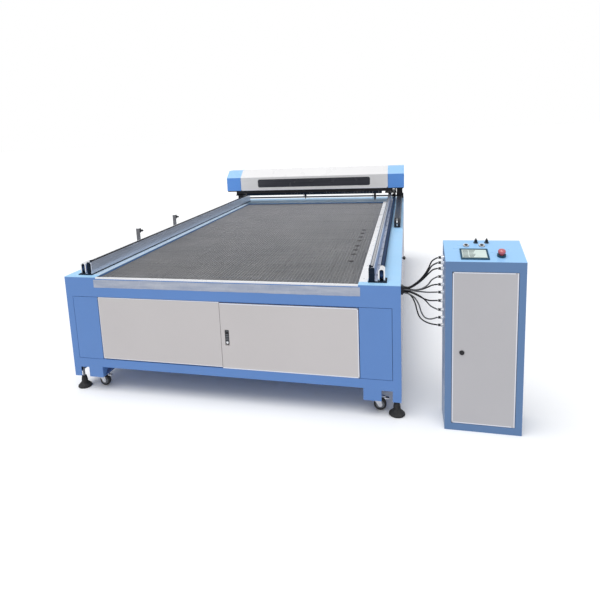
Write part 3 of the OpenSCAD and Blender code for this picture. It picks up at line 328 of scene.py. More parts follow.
def honeycomb_metal(name):
    """Grey foil, stained darker in soft patches and in streaks along and across the bed, and lighter
    towards the rear.
    """
    finish = Finish(name, (0.36, 0.36, 0.37), 0.5, metallic=0.3, specular=0.4)
    soot = finish.spread(finish.noise(2.4, 5.0, sharp=0.6), start=0.35, end=0.68)
    tone = finish.blend(soot, (0.34, 0.34, 0.35), (0.43, 0.425, 0.43))
    crossing = finish.spread(finish.noise(1.0, 4.0, stretch=(3.0, 42.0, 1.0)), 0.0, 0.55, 0.45, 0.72)
    tone = finish.blend(crossing, tone, (0.25, 0.25, 0.26))
    along = finish.spread(finish.noise(1.0, 4.0, stretch=(60.0, 2.0, 1.0)), 0.0, 0.4, 0.48, 0.75)
    tone = finish.blend(along, tone, (0.24, 0.24, 0.25))
    speck = finish.spread(finish.noise(170.0, 2.0), 0.0, 0.7, 0.62, 0.8)
    tone = finish.blend(speck, tone, (0.52, 0.52, 0.52))
    # Lighter towards the rear of the bed.
    lighter_toward_rear = finish.spread(finish.along("Y"), 0.04, 0.50, -1.4, 1.3)
    finish.paint(finish.blend(lighter_toward_rear, tone, (0.56, 0.555, 0.575)))
    finish.uneven(80.0, 3.0, 0.42, 0.62)
    finish.grain(700.0, 2.0, 0.0002, 0.5)
    return finish.material


def smoked_acrylic(name):
    """Near-black gloss acrylic with faint wipe marks."""
    finish = Finish(name, (0.026, 0.027, 0.038), 0.2, specular=0.4)
    marks = finish.noise(1.0, 4.0, stretch=(2.0, 1.0, 60.0))
    wiped = finish.spread(marks)
    finish.paint(finish.blend(wiped, (0.021, 0.022, 0.031), (0.035, 0.036, 0.048)))
    finish.uneven(9.0, 4.0, 0.16, 0.3)
    finish.grain(2.5, 1.0, 0.0008, 0.1)
    return finish.material


def cable_sheath(name, colour, roughness=0.38):
    """Extruded PVC sheath, slightly rippled."""
    finish = Finish(name, colour, roughness, specular=0.14)
    clouded(finish, 60.0, 0.15)
    finish.uneven(90.0, 3.0, roughness - 0.08, roughness + 0.14)
    finish.grain(240.0, 3.0, 0.0003, 0.5)
    return finish.material


def protective_film(name):
    """Milky protective film, pressed on with a few bubbles and creases."""
    finish = Finish(name, (0.42, 0.44, 0.52), 0.24, specular=0.5)
    crease = finish.noise(1.0, 4.0, stretch=(5.0, 1.0, 34.0), sharp=0.6)
    finish.paint(finish.blend(finish.spread(crease), (0.31, 0.36, 0.48), (0.48, 0.51, 0.59)))
    finish.uneven(14.0, 4.0, 0.16, 0.36)
    finish.relief(crease, 0.0012, 0.6)
    return finish.material


def display_glass(name):
    """Grey-green liquid crystal behind clear glass."""
    finish = Finish(name, (0.62, 0.72, 0.68), 0.22, specular=0.5, coat=0.4)
    clouded(finish, 28.0, 0.05)
    finish.uneven(30.0, 3.0, 0.17, 0.27)
    finish.grain(900.0, 2.0, 0.00005, 0.3)
    return finish.material


def trim_metal(name):
    """Satin anodised edge trim, nearly white."""
    finish = Finish(name, (0.83, 0.83, 0.85), 0.3, metallic=0.25)
    lines = finish.noise(1.0, 3.0, stretch=(1.0, 1.0, 700.0))
    finish.paint(finish.blend(finish.spread(lines), (0.76, 0.77, 0.80), (0.88, 0.88, 0.89)))
    finish.uneven(10.0, 3.0, 0.24, 0.38)
    finish.relief(lines, 0.0001, 0.4)
    return finish.material


frame_blue = powder_coat("frame_blue", (0.106, 0.247, 0.585))
cap_blue = powder_coat("cap_blue", (0.105, 0.315, 0.800))
# Paler copy of the blue paint for faces that look up: painted light from above.
painted_top_light_blue = powder_coat("painted_top_light_blue", (0.300, 0.555, 0.865), roughness=0.30)
# The deck's paler blue is a lit copy of the frame's blue: painted light from above.
deck_blue = powder_coat("deck_blue", (0.365, 0.635, 0.905), roughness=0.45, specular=0.25, coat=0.0)
console_blue = powder_coat("console_blue", (0.105, 0.210, 0.410))
panel_grey = textured_coat("panel_grey", (0.62, 0.588, 0.585))
# Darker grey of the right door's edge at the seam: painted shade.
painted_seam_shade_grey = textured_coat("painted_seam_shade_grey", (0.30, 0.29, 0.30))
console_grey = textured_coat("console_grey", (0.53, 0.52, 0.54))
# Near-white paint of strips laid on folded edges: a painted highlight.
painted_edge_highlight = powder_coat("painted_edge_highlight", (0.80, 0.82, 0.90), roughness=0.25, spread=0.02)
cover_white = powder_coat("cover_white", (0.78, 0.77, 0.77), roughness=0.3, spread=0.02)
rail_alu = extrusion("rail_alu", (0.56, 0.61, 0.71))
# Darker blue-grey of the rails' outer sides: painted shade and a painted reflection of the blue deck.
painted_rail_side_shade = extrusion("painted_rail_side_shade", (0.34, 0.43, 0.66))
beam_alu = extrusion("beam_alu", (0.5, 0.51, 0.54))
edge_trim = trim_metal("edge_trim")
# Pale blue of the left trim: a painted reflection of the sky.
painted_sky_reflection_trim = powder_coat("painted_sky_reflection_trim", (0.56, 0.72, 0.88), roughness=0.3, spread=0.02)
zinc = plated("zinc")
bright_steel = plated("bright_steel", (0.72, 0.73, 0.75), 0.2)
black_steel = black_paint("black_steel")
base_black = black_paint("base_black", (0.008, 0.016, 0.030), 0.7, 0.08)
# Near black of the guides' sides and the groove below: painted shade.
painted_guide_groove_shade = black_paint("painted_guide_groove_shade", (0.022, 0.022, 0.026), 0.5, 0.15)
guide_steel = plated("guide_steel", (0.42, 0.43, 0.46), 0.3)
black_plastic = moulded("black_plastic", (0.013, 0.013, 0.016), 0.36, 0.3)
chain_plastic = moulded("chain_plastic", (0.028, 0.032, 0.042), 0.3)
grey_plastic = moulded("grey_plastic", (0.16, 0.17, 0.19), 0.4)
teal_plastic = moulded("teal_plastic", (0.010, 0.060, 0.105), 0.4, 0.25)
white_plastic = moulded("white_plastic", (0.74, 0.76, 0.76), 0.35)
red_plastic = moulded("red_plastic", (0.50, 0.085, 0.115), 0.14, 0.9, 0.00003)
black_rubber = rubber("black_rubber")
# The belt's navy tint is painted shade and a painted reflection of the blue deck.
belt_painted_navy_shade = toothed_belt("belt_painted_navy_shade")
comb_metal = honeycomb_metal("comb_metal")
comb_rim = black_paint("comb_rim", (0.30, 0.30, 0.31))
brass = plated("brass", (0.66, 0.45, 0.20), 0.25)
dark_steel = plated("dark_steel", (0.16, 0.17, 0.19), 0.3)
post_steel = plated("post_steel", (0.15, 0.15, 0.16), 0.4)
window_glass = smoked_acrylic("window_glass")
sheath_black = cable_sheath("sheath_black", (0.007, 0.007, 0.009), 0.34)
sheath_grey = cable_sheath("sheath_grey", (0.12, 0.12, 0.125))
film_clear = protective_film("film_clear")
screen_glass = display_glass("screen_glass")
screen_pale = display_glass("screen_pale")
segment_dark = moulded("segment_dark", (0.05, 0.075, 0.08), 0.5)


# ---------- mesh helpers

def piece(name, body, material, bm=None, mesh=None, smooth=False):
    """Makes an object of a bmesh or mesh and puts it on its body."""
    if bm is not None:
        mesh = bpy.data.meshes.new(name)
        bm.to_mesh(mesh)
        bm.free()
    obj = linked(name, mesh)
    for entry in material if isinstance(material, list) else [material]:
        mesh.materials.append(entry)
    if smooth:
        mesh.polygons.foreach_set("use_smooth", [True] * len(mesh.polygons))
    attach(obj, body)
    return obj


def set_slot(verts, slot_index):
    """Gives the faces of new corners a material slot."""
    for face in {f for v in verts for f in v.link_faces}:
        face.material_index = slot_index


def edges_of(verts):
    """The edges at some corners, each once."""
    return list(dict.fromkeys(edge for v in verts for edge in v.link_edges))


def standing_on(point, axis):
    """Frame at a point, with its Z axis along axis."""
    return Matrix.Translation(point) @ UP.rotation_difference(axis).to_matrix().to_4x4()


def circle(sides):
    """Cosines and sines of even turns round a circle."""
    return [(math.cos(2 * math.pi * k / sides), math.sin(2 * math.pi * k / sides)) for k in range(sides)]


def add_box(bm, low, high, slot_index=0):
    """Block between two corners."""
    size = Vector(high) - Vector(low)
    place = Matrix.Translation((Vector(low) + Vector(high)) / 2) @ Matrix.Diagonal((*size, 1.0))
    made = bmesh.ops.create_cube(bm, size=1.0, matrix=place)
    set_slot(made["verts"], slot_index)
    return made["verts"]


def add_disc(bm, middle, axis, radius, depth, sides, slot_index=0):
    """Short cylinder that starts at middle and runs along axis."""
    axis = Vector(axis).normalized()
    made = bmesh.ops.create_cone(bm, cap_ends=True, segments=sides, radius1=radius, radius2=radius,
                                 depth=depth, matrix=standing_on(middle + axis * depth / 2, axis))
    set_slot(made["verts"], slot_index)


def add_lathe(bm, middle, axis, outline, sides, slot_index=0):
    """Turned form: outline is a list of (radius, distance along axis)."""
    place = standing_on(middle, Vector(axis).normalized())
    rings = []
    for radius, rise in outline:
        turns = circle(sides) if radius > 0 else [(0, 0)]
        rings.append([bm.verts.new(place @ Vector((radius * c, radius * s, rise))) for c, s in turns])
    for low, high in zip(rings, rings[1:]):
        for k in range(sides):
            corners = [low[k % len(low)], low[(k + 1) % len(low)],
                       high[(k + 1) % len(high)], high[k % len(high)]]
            unique = list(dict.fromkeys(corners))
            if len(unique) > 2:
                bm.faces.new(unique).material_index = slot_index
    for ring, flip in ((rings[0], True), (rings[-1], False)):
        if len(ring) > 2:
            bm.faces.new(reversed(ring) if flip else ring).material_index = slot_index


def turned_piece(name, body, material, points, axis, outline, sides, smooth=False):
    """Piece made of one turned form that stands at each point."""
    bm = bmesh.new()
    for point in points:
        add_lathe(bm, point, axis, outline, sides)
    piece(name, body, material, bm, smooth=smooth)


def spaced(low, high, pitch):
    """Even places from low to high, about pitch apart."""
    count = max(1, round((high - low) / pitch))
    return [low + (high - low) * k / count for k in range(count + 1)]


def dress(names, material):
    """Gives the CAD nodes of a spaced list a material."""
    for name in names.split():
        data = nodes[name].data
        data.materials.clear()
        data.materials.append(material)


def soften(name, width):
    """Rounds the folded edges of a CAD node so that they catch the light."""
    weld = nodes[name].modifiers.new("weld", "WELD")
    weld.merge_threshold = 0.00002
    bevel = nodes[name].modifiers.new("folds", "BEVEL")
    bevel.width = width
    bevel.segments = 2
    bevel.limit_method = "ANGLE"
    bevel.angle_limit = math.radians(50)
    bevel.harden_normals = True


# ---------- cords

CORD_D = 0.008
ROUTES = [
    [(2.212, 0.080, 0.784), (2.246, 0.080, 0.785), (2.276, 0.082, 0.803), (2.304, 0.085, 0.827),
     (2.332, 0.089, 0.861), (2.354, 0.093, 0.899), (2.372, 0.097, 0.937), (2.404, 0.100, 0.958)],
    [(2.212, 0.070, 0.784), (2.246, 0.070, 0.782), (2.276, 0.072, 0.797), (2.304, 0.076, 0.820),
     (2.332, 0.081, 0.851), (2.352, 0.086, 0.881), (2.372, 0.093, 0.911), (2.404, 0.100, 0.928)],
    [(2.212, 0.090, 0.784), (2.246, 0.090, 0.781), (2.278, 0.091, 0.794), (2.308, 0.093, 0.816),
     (2.336, 0.095, 0.844), (2.358, 0.097, 0.868), (2.378, 0.099, 0.886), (2.404, 0.100, 0.894)],
    [(2.212, 0.070, 0.774), (2.248, 0.070, 0.771), (2.284, 0.072, 0.772), (2.318, 0.077, 0.780),
     (2.348, 0.084, 0.799), (2.372, 0.093, 0.829), (2.404, 0.100, 0.846)],
    [(2.212, 0.090, 0.774), (2.248, 0.090, 0.769), (2.284, 0.090, 0.766), (2.318, 0.091, 0.771),
     (2.346, 0.094, 0.782), (2.372, 0.098, 0.794), (2.404, 0.100, 0.800)],
    [(2.212, 0.080, 0.774), (2.246, 0.080, 0.768), (2.280, 0.081, 0.762), (2.314, 0.085, 0.758),
     (2.346, 0.091, 0.754), (2.374, 0.097, 0.753), (2.404, 0.100, 0.754)],
    [(2.212, 0.080, 0.764), (2.246, 0.079, 0.756), (2.278, 0.078, 0.744), (2.308, 0.080, 0.728),
     (2.336, 0.085, 0.713), (2.366, 0.094, 0.704), (2.404, 0.100, 0.704)],
    [(2.212, 0.090, 0.764), (2.246, 0.090, 0.757), (2.280, 0.090, 0.745), (2.312, 0.091, 0.726),
     (2.340, 0.093, 0.700), (2.366, 0.096, 0.670), (2.404, 0.100, 0.650)],
    [(2.212, 0.070, 0.754), (2.244, 0.070, 0.747), (2.274, 0.071, 0.727), (2.298, 0.074, 0.688),
     (2.312, 0.080, 0.640), (2.332, 0.088, 0.604), (2.364, 0.096, 0.592), (2.404, 0.100, 0.603)],
    [(2.212, 0.090, 0.754), (2.240, 0.090, 0.745), (2.264, 0.090, 0.720), (2.280, 0.091, 0.682),
     (2.290, 0.093, 0.640), (2.304, 0.095, 0.602), (2.330, 0.098, 0.577), (2.366, 0.100, 0.562),
     (2.404, 0.100, 0.557)],
]
GREY_CORDS = (4, 6, 8, 9)


def smooth_route(route, steps=5):
    """Points along the smooth curve through a route's points."""
    points = [Vector(p) for p in route]
    line = []
    for i in range(len(points) - 1):
        a, b, c, d = (points[min(max(k, 0), len(points) - 1)] for k in range(i - 1, i + 3))
        for k in range(steps):
            t = k / steps
            line.append(0.5 * (2 * b + (c - a) * t + (2 * a - 5 * b + 4 * c - d) * t * t
                               + (3 * b - a - 3 * c + d) * t ** 3))
    return line + [points[-1]]


def make_cord(number, route):
    """One cable from the gland to its connector on the console."""
    line = [at(*p) for p in smooth_route(route)]
    curve = bpy.data.curves.new(f"cable_{number}", "CURVE")
    curve.dimensions = "3D"
    curve.bevel_depth = CORD_D / 2
    curve.bevel_resolution = 4
    curve.use_fill_caps = True
    spline = curve.splines.new("POLY")
    spline.points.add(len(line) - 1)
    for point, place in zip(spline.points, line):
        point.co = (*place, 1.0)
    obj = linked(f"cable_{number}", curve)
    curve.materials.append(sheath_grey if number in GREY_CORDS else sheath_black)
    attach(obj, "cabinet")
    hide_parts(f"cord_{number}")


for index, route in enumerate(ROUTES):
    make_cord(index + 1, route)


# ---------- CAD nodes

dress("frame column_covers", frame_blue)
dress("gantry_end_caps", cap_blue)
dress("deck", deck_blue)
dress("console_body", console_blue)
dress("body_panels door_left door_right", panel_grey)
dress("console_door", console_grey)
dress("bed_edge_trim", edge_trim)
dress("rails", rail_alu)
dress("gantry_beam", beam_alu)
dress("gantry_cover", cover_white)
dress("gantry_window", window_glass)
dress("rail_base_plates", base_black)
dress("gantry_end_plates head_left head_right y_drive_mounts", black_steel)
dress("nozzle_left nozzle_right y_idler_left y_idler_right", black_steel)
dress("tensioner_blocks cable_plugs", bright_steel)
dress("y_shaft foot_stems", dark_steel)
dress("side_posts", post_steel)
dress("y_belts", belt_painted_navy_shade)
dress("foot_pads", black_rubber)
for c in CORNERS:
    dress(f"caster_wheel_{c}", black_rubber)
    dress(f"caster_fork_{c}", zinc)
dress("chain_run chain_loop", chain_plastic)
dress("cable_gland latch_lever console_lock selector_left selector_right", black_plastic)
dress("panel_fittings", teal_plastic)
dress("estop_button", red_plastic)
dress("button_start button_stop", black_plastic)
for number in range(1, len(ROUTES) + 1):
    dress(f"cord_{number}", sheath_black)
soften("gantry_cover", 0.0008)
soften("gantry_end_caps", 0.0008)

# Limits that pick the faces of a node that get another material, and their slack
TOUCH, GROOVE_H, RAIL_OUT, TRIM_IN = 0.0005, 0.004, 0.155, 0.236
CLAMP_H, EDGE_W, RING_REACH, TIP_H, HUB_SHARE = 0.03, 0.03, 0.022, 0.0125, 0.72
rail_top = span("rails")[1].z - GUIDE_H


def repaint(name, material, wanted):
    """Gives the faces of a CAD node that wanted(normal, centre) picks another material."""
    data = nodes[name].data
    data.materials.append(material)
    for polygon in data.polygons:
        if wanted(polygon.normal, polygon.center - corner):
            polygon.material_index = len(data.materials) - 1


def near_top(normal, centre):
    """The gantry's shoulders and its top, which get a paler blue as painted light from above."""
    return normal.z > 0.3


def sloped(normal, centre):
    """The console's panel and its narrow top, which get a paler blue as painted light from above."""
    return normal.z > 0.8 and centre.z > CONSOLE_H - 8 * TOUCH


def paddle_face(normal, centre):
    """Outer face of the latch's paddle, behind the door's face."""
    return normal.y < -0.9 and centre.y < 0.001


def seam_edge(normal, centre):
    """Folded edge of the right door at the seam between the doors, painted darker grey as painted shade."""
    return normal.x < -0.5 and centre.x < span("door_right")[0].x + EDGE_W


def guide_side(normal, centre):
    """Sides of the rails' guides and the groove below them, painted near black as painted shade."""
    return (rail_top + TOUCH < centre.z < rail_top + GUIDE_H - TOUCH
            or rail_top - GROOVE_H < centre.z < rail_top - TOUCH)


def rail_outer_side(normal, centre):
    """The rails' outer sides below the groove, painted darker blue-grey as painted shade and a painted
    reflection of the blue deck.
    """
    return (abs(normal.x) > 0.5 and centre.z < rail_top - GROOVE_H
            and min(centre.x, machine_w - centre.x) < RAIL_OUT)


def left_trim(normal, centre):
    """The flat trim on the left of the bed, painted pale blue as a painted reflection of the sky."""
    return centre.x < TRIM_IN and centre.z > deck_top


def above(height):
    """Picks the faces over a height."""
    return lambda normal, centre: centre.z > height


def below(height):
    """Picks the faces under a height."""
    return lambda normal, centre: centre.z < height


def near(point, reach):
    """Picks the faces within reach of a point."""
    return lambda normal, centre: (centre - point).length < reach


def hub_of(wheel):
    """Picks the faces of a caster wheel's hub."""
    low, high = span(wheel)
    middle, reach = (low + high) / 2, (high.z - low.z) / 2 * HUB_SHARE
    return lambda normal, centre: math.hypot(centre.x - middle.x, centre.z - middle.z) < reach


repaint("gantry_end_caps", painted_top_light_blue, near_top)
repaint("console_body", painted_top_light_blue, sloped)
repaint("side_posts", black_plastic, above(span("side_posts")[1].z - CLAMP_H))
repaint("latch_lever", grey_plastic, paddle_face)
repaint("door_right", painted_seam_shade_grey, seam_edge)
repaint("rails", painted_guide_groove_shade, guide_side)
repaint("rails", guide_steel, above(rail_top + GUIDE_H - TOUCH))
repaint("rails", painted_rail_side_shade, rail_outer_side)
for u, v in PUSH_BUTTONS:
    repaint("panel_fittings", bright_steel, near(PANEL @ Vector((u, v, 0.0)) - corner, RING_REACH))
repaint("bed_edge_trim", painted_sky_reflection_trim, left_trim)
for side in SIDES:
    repaint(f"nozzle_{side}", brass, below(span(f"nozzle_{side}")[0].z + TIP_H))
for c in CORNERS:
    repaint(f"caster_wheel_{c}", grey_plastic, hub_of(f"caster_wheel_{c}"))


# ---------- honeycomb bed

COMB_CELL = 0.024
FOIL_W = 0.0022
BED_BUTTON_X = 0.338
BED_BUTTON_Y = (0.59, 0.79, 0.93, 1.07, 1.26, 1.41, 1.57, 1.72)


def add_wall(verts, faces, start, end, low, high):
    """One foil wall between two corners of the lattice, kept inside its panel."""
    start, end = (Vector((min(max(x, low.x), high.x), min(max(y, low.y), high.y))) for x, y in (start, end))
    if (end - start).length < COMB_CELL / 8:
        return
    along = (end - start).normalized()
    side = Vector((-along.y, along.x)) * FOIL_W / 2
    first = len(verts)
    for z in (high.z, low.z):
        for point in (start - side, start + side, end + side, end - side):
            verts.append(at(point.x, point.y, z))
    for quad in ((0, 3, 2, 1), (0, 4, 7, 3), (1, 2, 6, 5)):
        faces.append([first + k for k in quad])


def honeycomb_panel(index, low, high):
    """Open hexagonal cells of glued foil strips that run across the bed, in a thin rim."""
    reach = COMB_CELL / math.sqrt(3)
    verts, faces = [], []
    columns = int((high.x - low.x) / (1.5 * reach)) + 1
    rows = int((high.y - low.y) / COMB_CELL) + 1
    for i in range(columns):
        x = low.x + 1.5 * reach * i + reach / 2
        for k in range(rows):
            y = low.y + COMB_CELL * (k + (0.5 if i % 2 else 0.0))
            top, bottom = y + COMB_CELL / 2, y - COMB_CELL / 2
            path = [(x - reach / 2, top), (x + reach / 2, top), (x + reach, y), (x + reach / 2, bottom)]
            for start, end in zip(path, path[1:]):
                add_wall(verts, faces, start, end, low, high)
    mesh = bpy.data.meshes.new(f"honeycomb_{index + 1}")
    mesh.from_pydata(verts, [], faces)
    bm = bmesh.new()
    bm.from_mesh(mesh)
    bpy.data.meshes.remove(mesh)
    for a, b in (((low.x, low.y), (low.x + FOIL_W, high.y)), ((high.x - FOIL_W, low.y), (high.x, high.y)),
                 ((low.x, low.y), (high.x, low.y + FOIL_W)), ((low.x, high.y - FOIL_W), (high.x, high.y))):
        add_box(bm, at(*a, low.z), at(*b, high.z), 1)
    obj = piece(f"honeycomb_{index + 1}", "cabinet", [comb_metal, comb_rim], bm)
    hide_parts("honeycomb_bed")


def make_honeycomb():
    """The bed's panels, a slit apart."""
    low, high = span("honeycomb_bed")
    step = (high.y - low.y) / COMB_PANELS
    slit = 0.001
    for index in range(COMB_PANELS):
        honeycomb_panel(index, Vector((low.x, low.y + index * step + slit / 2, low.z)),
                        Vector((high.x, low.y + (index + 1) * step - slit / 2, high.z)))


def make_bed_buttons():
    """Row of dark hold-down buttons near the right rail."""
    x, z = machine_w - BED_BUTTON_X, span("honeycomb_bed")[1].z
    points = [at(x, y, z) for y in BED_BUTTON_Y]
    turned_piece("bed_buttons", "cabinet", black_plastic, points, UP,
                 [(0.019, 0.0), (0.019, 0.0012), (0.016, 0.0022), (0.008, 0.0022), (0.006, 0.0040)], 18)


make_honeycomb()
make_bed_buttons()


# ---------- small fasteners

def screws(name, places, axis, radius, height):
    """Cap screws on the cabinet with a dark socket in each head."""
    bm = bmesh.new()
    axis = Vector(axis)
    for place in places:
        add_disc(bm, at(*place), axis, radius, height, 12)
        add_disc(bm, at(*place) + axis * height, axis, 0.5 * radius, 0.0002, 6, 1)
    piece(name, "cabinet", [zinc, black_plastic], bm)


def screw_row(name, side, inset, places, z, radius, height):
    """Upright screws in a row along one side of the machine."""
    x = inset if side == "left" else machine_w - inset
    screws(f"{name}_{side}", [(x, y, z) for y in places], UP, radius, height)


def make_rail_screws(side):
    """Screws of a rail's guide and of its feet."""
    low, high = span("rails")
    guide_x, flange_x, flange_top = 0.162, 0.139, low.z + 0.005
    guide_y, flange_y = spaced(low.y + 0.05, high.y - 0.03, 0.06), spaced(low.y + 0.12, high.y - 0.08, 0.24)
    screw_row("guide_screws", side, guide_x, guide_y, high.z, 0.0032, 0.0008)
    screw_row("rail_foot_screws", side, flange_x, flange_y, flange_top, 0.006, 0.005)


def make_panel_locks():
    """Quarter-turn fasteners near the corners of the fixed panels: three a side, two at the rear."""
    low, high = span("body_panels")
    end, post, inset, sunk = 0.08, 0.06, 0.05, 0.0016
    radius, height = 0.011, 0.0015
    bay = (machine_l - 2 * end - 2 * post) / 3
    heights = (low.z + inset, high.z - inset)
    fronts = [end + k * (bay + post) for k in range(3)]
    spots = [(y, z) for front in fronts for y in (front + inset, front + bay - inset) for z in heights]
    screws("panel_locks_left", [(0.0, y, z) for y, z in spots], (-1, 0, 0), radius, height)
    screws("panel_locks_right", [(machine_w, y, z) for y, z in spots], (1, 0, 0), radius, height)
    rear = [machine_w / 2 + x for x in (-0.81, -inset, inset, 0.81)]
    screws("panel_locks_rear", [(x, machine_l - sunk, z) for x in rear for z in heights],
           (0, 1, 0), radius, height)


def make_trim_screws(side):
    """Screws of the flat trim along the bed."""
    trim_x, front, rear, pitch = 0.213, 0.12, 3.42, 0.3
    top = span("bed_edge_trim")[1].z
    screw_row("trim_screws", side, trim_x, spaced(front, rear, pitch), top, 0.004, 0.001)


def make_thumb_screw():
    """Thumb screw on the machine's right side."""
    turned_piece("thumb_screw", "cabinet", black_plastic, [at(machine_w, 0.75, 0.79)], (1, 0, 0),
                 [(0.004, 0.0), (0.004, 0.008), (0.011, 0.008), (0.012, 0.010), (0.012, 0.021),
                  (0.010, 0.023)], 20)


def make_post_knobs():
    """Clamping knobs on the outer face of the side posts' plates."""
    low, high = span("side_posts")
    half = (high.y - low.y - POST_PITCH) / 2
    plate_in, knob_drop = 0.024, 0.018
    points = [at(low.x + plate_in, low.y + y, high.z - knob_drop) for y in (half, half + POST_PITCH)]
    turned_piece("post_knobs", "cabinet", black_plastic, points, (-1, 0, 0),
                 [(0.004, -0.001), (0.004, 0.004), (0.0095, 0.004), (0.0105, 0.006), (0.0105, 0.012),
                  (0.009, 0.014)], 16)


def make_foot_boots():
    """Ribbed rubber boots over the feet's threads, between the pads and the legs."""
    low, high = span("foot_pads")
    reach = FOOT_D / 2
    points = [at(x, y, high.z) for x in (low.x + reach, high.x - reach)
              for y in (low.y + reach, high.y - reach)]
    turned_piece("foot_boots", "cabinet", black_rubber, points, UP,
                 [(0.0085, 0.0), (0.021, 0.0004), (0.022, 0.004), (0.0195, 0.008), (0.021, 0.012),
                  (0.0185, 0.017), (0.0195, 0.021), (0.017, 0.026), (0.017, 0.034), (0.0085, 0.036)],
                 28, smooth=True)


for side in SIDES:
    make_rail_screws(side)
make_panel_locks()
for side in SIDES:
    make_trim_screws(side)
make_thumb_screw()
make_post_knobs()
make_foot_boots()


# ---------- cabinet front

def make_film():
    """Strip of protective film left on the upper beam, with lifted, uneven edges."""
    left, right, bottom, top = 0.22, 1.973, 0.745, 0.799
    columns, rows = 150, 8
    proud, lift, waviness = 0.0005, 0.0007, 0.0016
    verts = []
    for i in range(columns + 1):
        for k in range(rows + 1):
            x = left + (right - left) * i / columns
            z = bottom + (top - bottom) * k / rows
            bubble = max(0.0, noise.noise(Vector((x * 9.0, z * 22.0, 3.7))))
            edge = waviness * noise.noise(Vector((x * 14.0, 8.1, 0.2))) if k in (0, rows) else 0.0
            verts.append(at(x, -proud - lift * bubble, z + edge))
    step = rows + 1
    faces = [(i * step + k, (i + 1) * step + k, (i + 1) * step + k + 1, i * step + k + 1)
             for i in range(columns) for k in range(rows)]
    mesh = bpy.data.meshes.new("film")
    mesh.from_pydata(verts, [], faces)
    piece("protective_film", "cabinet", film_clear, mesh=mesh, smooth=True)


def edge_beads(body, sides, width, short=0.0):
    """Rounded strips on a door's folded edges, painted near white as painted highlights; top and bottom end
    short of the hinge.
    """
    low, high = span(body)
    proud, sunk, rounding = 0.0007, 0.0006, 0.0005
    end = high.x - short
    spots = {"left": ((low.x, low.z), (low.x + width, high.z)),
             "right": ((high.x - width, low.z), (high.x, high.z)),
             "top": ((low.x, high.z - width), (end, high.z)),
             "bottom": ((low.x, low.z), (end, low.z + width))}
    bm = bmesh.new()
    for side in sides:
        (xa, za), (xb, zb) = spots[side]
        made = add_box(bm, at(xa, low.y - proud, za), at(xb, low.y + sunk, zb))
        front = [e for e in edges_of(made)
                 if all(v.co.y < at(0, low.y, 0).y - rounding for v in e.verts)]
        bmesh.ops.bevel(bm, geom=front, offset=rounding, segments=1, affect="EDGES")
    piece(f"{body}_edges", body, painted_edge_highlight, bm)


def make_latch_barrel():
    """Barrel of the latch's lock at the foot of its paddle."""
    low, high = span("latch_lever")
    foot = at((low.x + high.x) / 2, low.y, low.z + 0.012)
    turned_piece("latch_barrel", "latch_lever", bright_steel, [foot], (0, -1, 0),
                 [(0.0075, 0.0), (0.0075, 0.0006), (0.0066, 0.001), (0.0, 0.001)], 20)


make_film()
# Strips painted near white along the doors' edges are painted highlights.
edge_beads("door_left", ("left", "top", "bottom"), 0.004)
edge_beads("door_right", ("top", "right", "bottom"), 0.006)
edge_beads("console_door", ("left", "top", "right", "bottom"), 0.0055, short=0.016)
make_latch_barrel()


# ---------- gantry

def make_cover_edges():
    """Folded lower edges of the cover and its upright folds beside the end caps, as strips painted lighter
    than the cover: painted highlights.
    """
    low, high = span("gantry_cover")
    proud, sunk, fold_h, strip_w, strip_h = 0.0006, 0.001, 0.007, 0.012, 0.160
    bm = bmesh.new()
    add_box(bm, at(low.x, low.y - proud, low.z), at(high.x, low.y + sunk, low.z + fold_h))
    add_box(bm, at(low.x, high.y - sunk, low.z), at(high.x, high.y + proud, low.z + fold_h))
    for x in (low.x, high.x - strip_w):
        add_box(bm, at(x, low.y - proud, low.z), at(x + strip_w, low.y + sunk, low.z + strip_h))
    piece("cover_edges", "gantry", painted_edge_highlight, bm)


def make_cap_seams():
    """Dark seams between the cover and its end caps."""
    low, high = span("gantry_cover")
    proud, sunk, seam_w, seam_h, lap = 0.001, 0.002, 0.003, 0.163, 0.0008
    bm = bmesh.new()
    for x in (low.x + lap - seam_w, high.x - lap):
        add_box(bm, at(x, low.y - proud, low.z), at(x + seam_w, low.y + sunk, low.z + seam_h))
        add_box(bm, at(x, high.y - sunk, low.z), at(x + seam_w, high.y + proud, low.z + seam_h))
    piece("cap_seams", "gantry", black_rubber, bm)


def make_skirt_lip():
    """Pleated rubber lip below the cover's black skirt, clear of the rails."""
    low = span("gantry_cover")[0]
    pleats, end, slit, thickness = 46, 0.25, 0.012, 0.003
    y, bottom, top = low.y + 0.0055, span("rails")[1].z + 0.024, low.z - 0.0382
    bm = bmesh.new()
    for k in range(pleats):
        start, stop = (end + (machine_w - 2 * end) * (k + share) / pleats for share in (slit, 1 - slit))
        add_box(bm, at(start, y, bottom), at(stop, y + thickness, top))
    piece("skirt_lip", "gantry", base_black, bm)


def make_nozzle_rings(side):
    """Turned rings round a head's tube."""
    low, high = span(f"nozzle_{side}")
    x, y = (low.x + high.x) / 2, (low.y + high.y) / 2
    tube_r = (high.x - low.x) / 2
    chamfer = 0.0006
    bm = bmesh.new()
    for rise, height, out in ((0.030, 0.007, 0.0022), (0.042, 0.003, 0.001), (0.058, 0.003, 0.001)):
        add_lathe(bm, at(x, y, low.z + rise), UP,
                  [(tube_r, 0.0), (tube_r + out, chamfer), (tube_r + out, height - chamfer),
                   (tube_r, height)], 28)
    piece(f"nozzle_rings_{side}", f"nozzle_{side}", dark_steel, bm)


make_cover_edges()
make_cap_seams()
make_skirt_lip()
for side in SIDES:
    make_nozzle_rings(side)


# ---------- energy chain

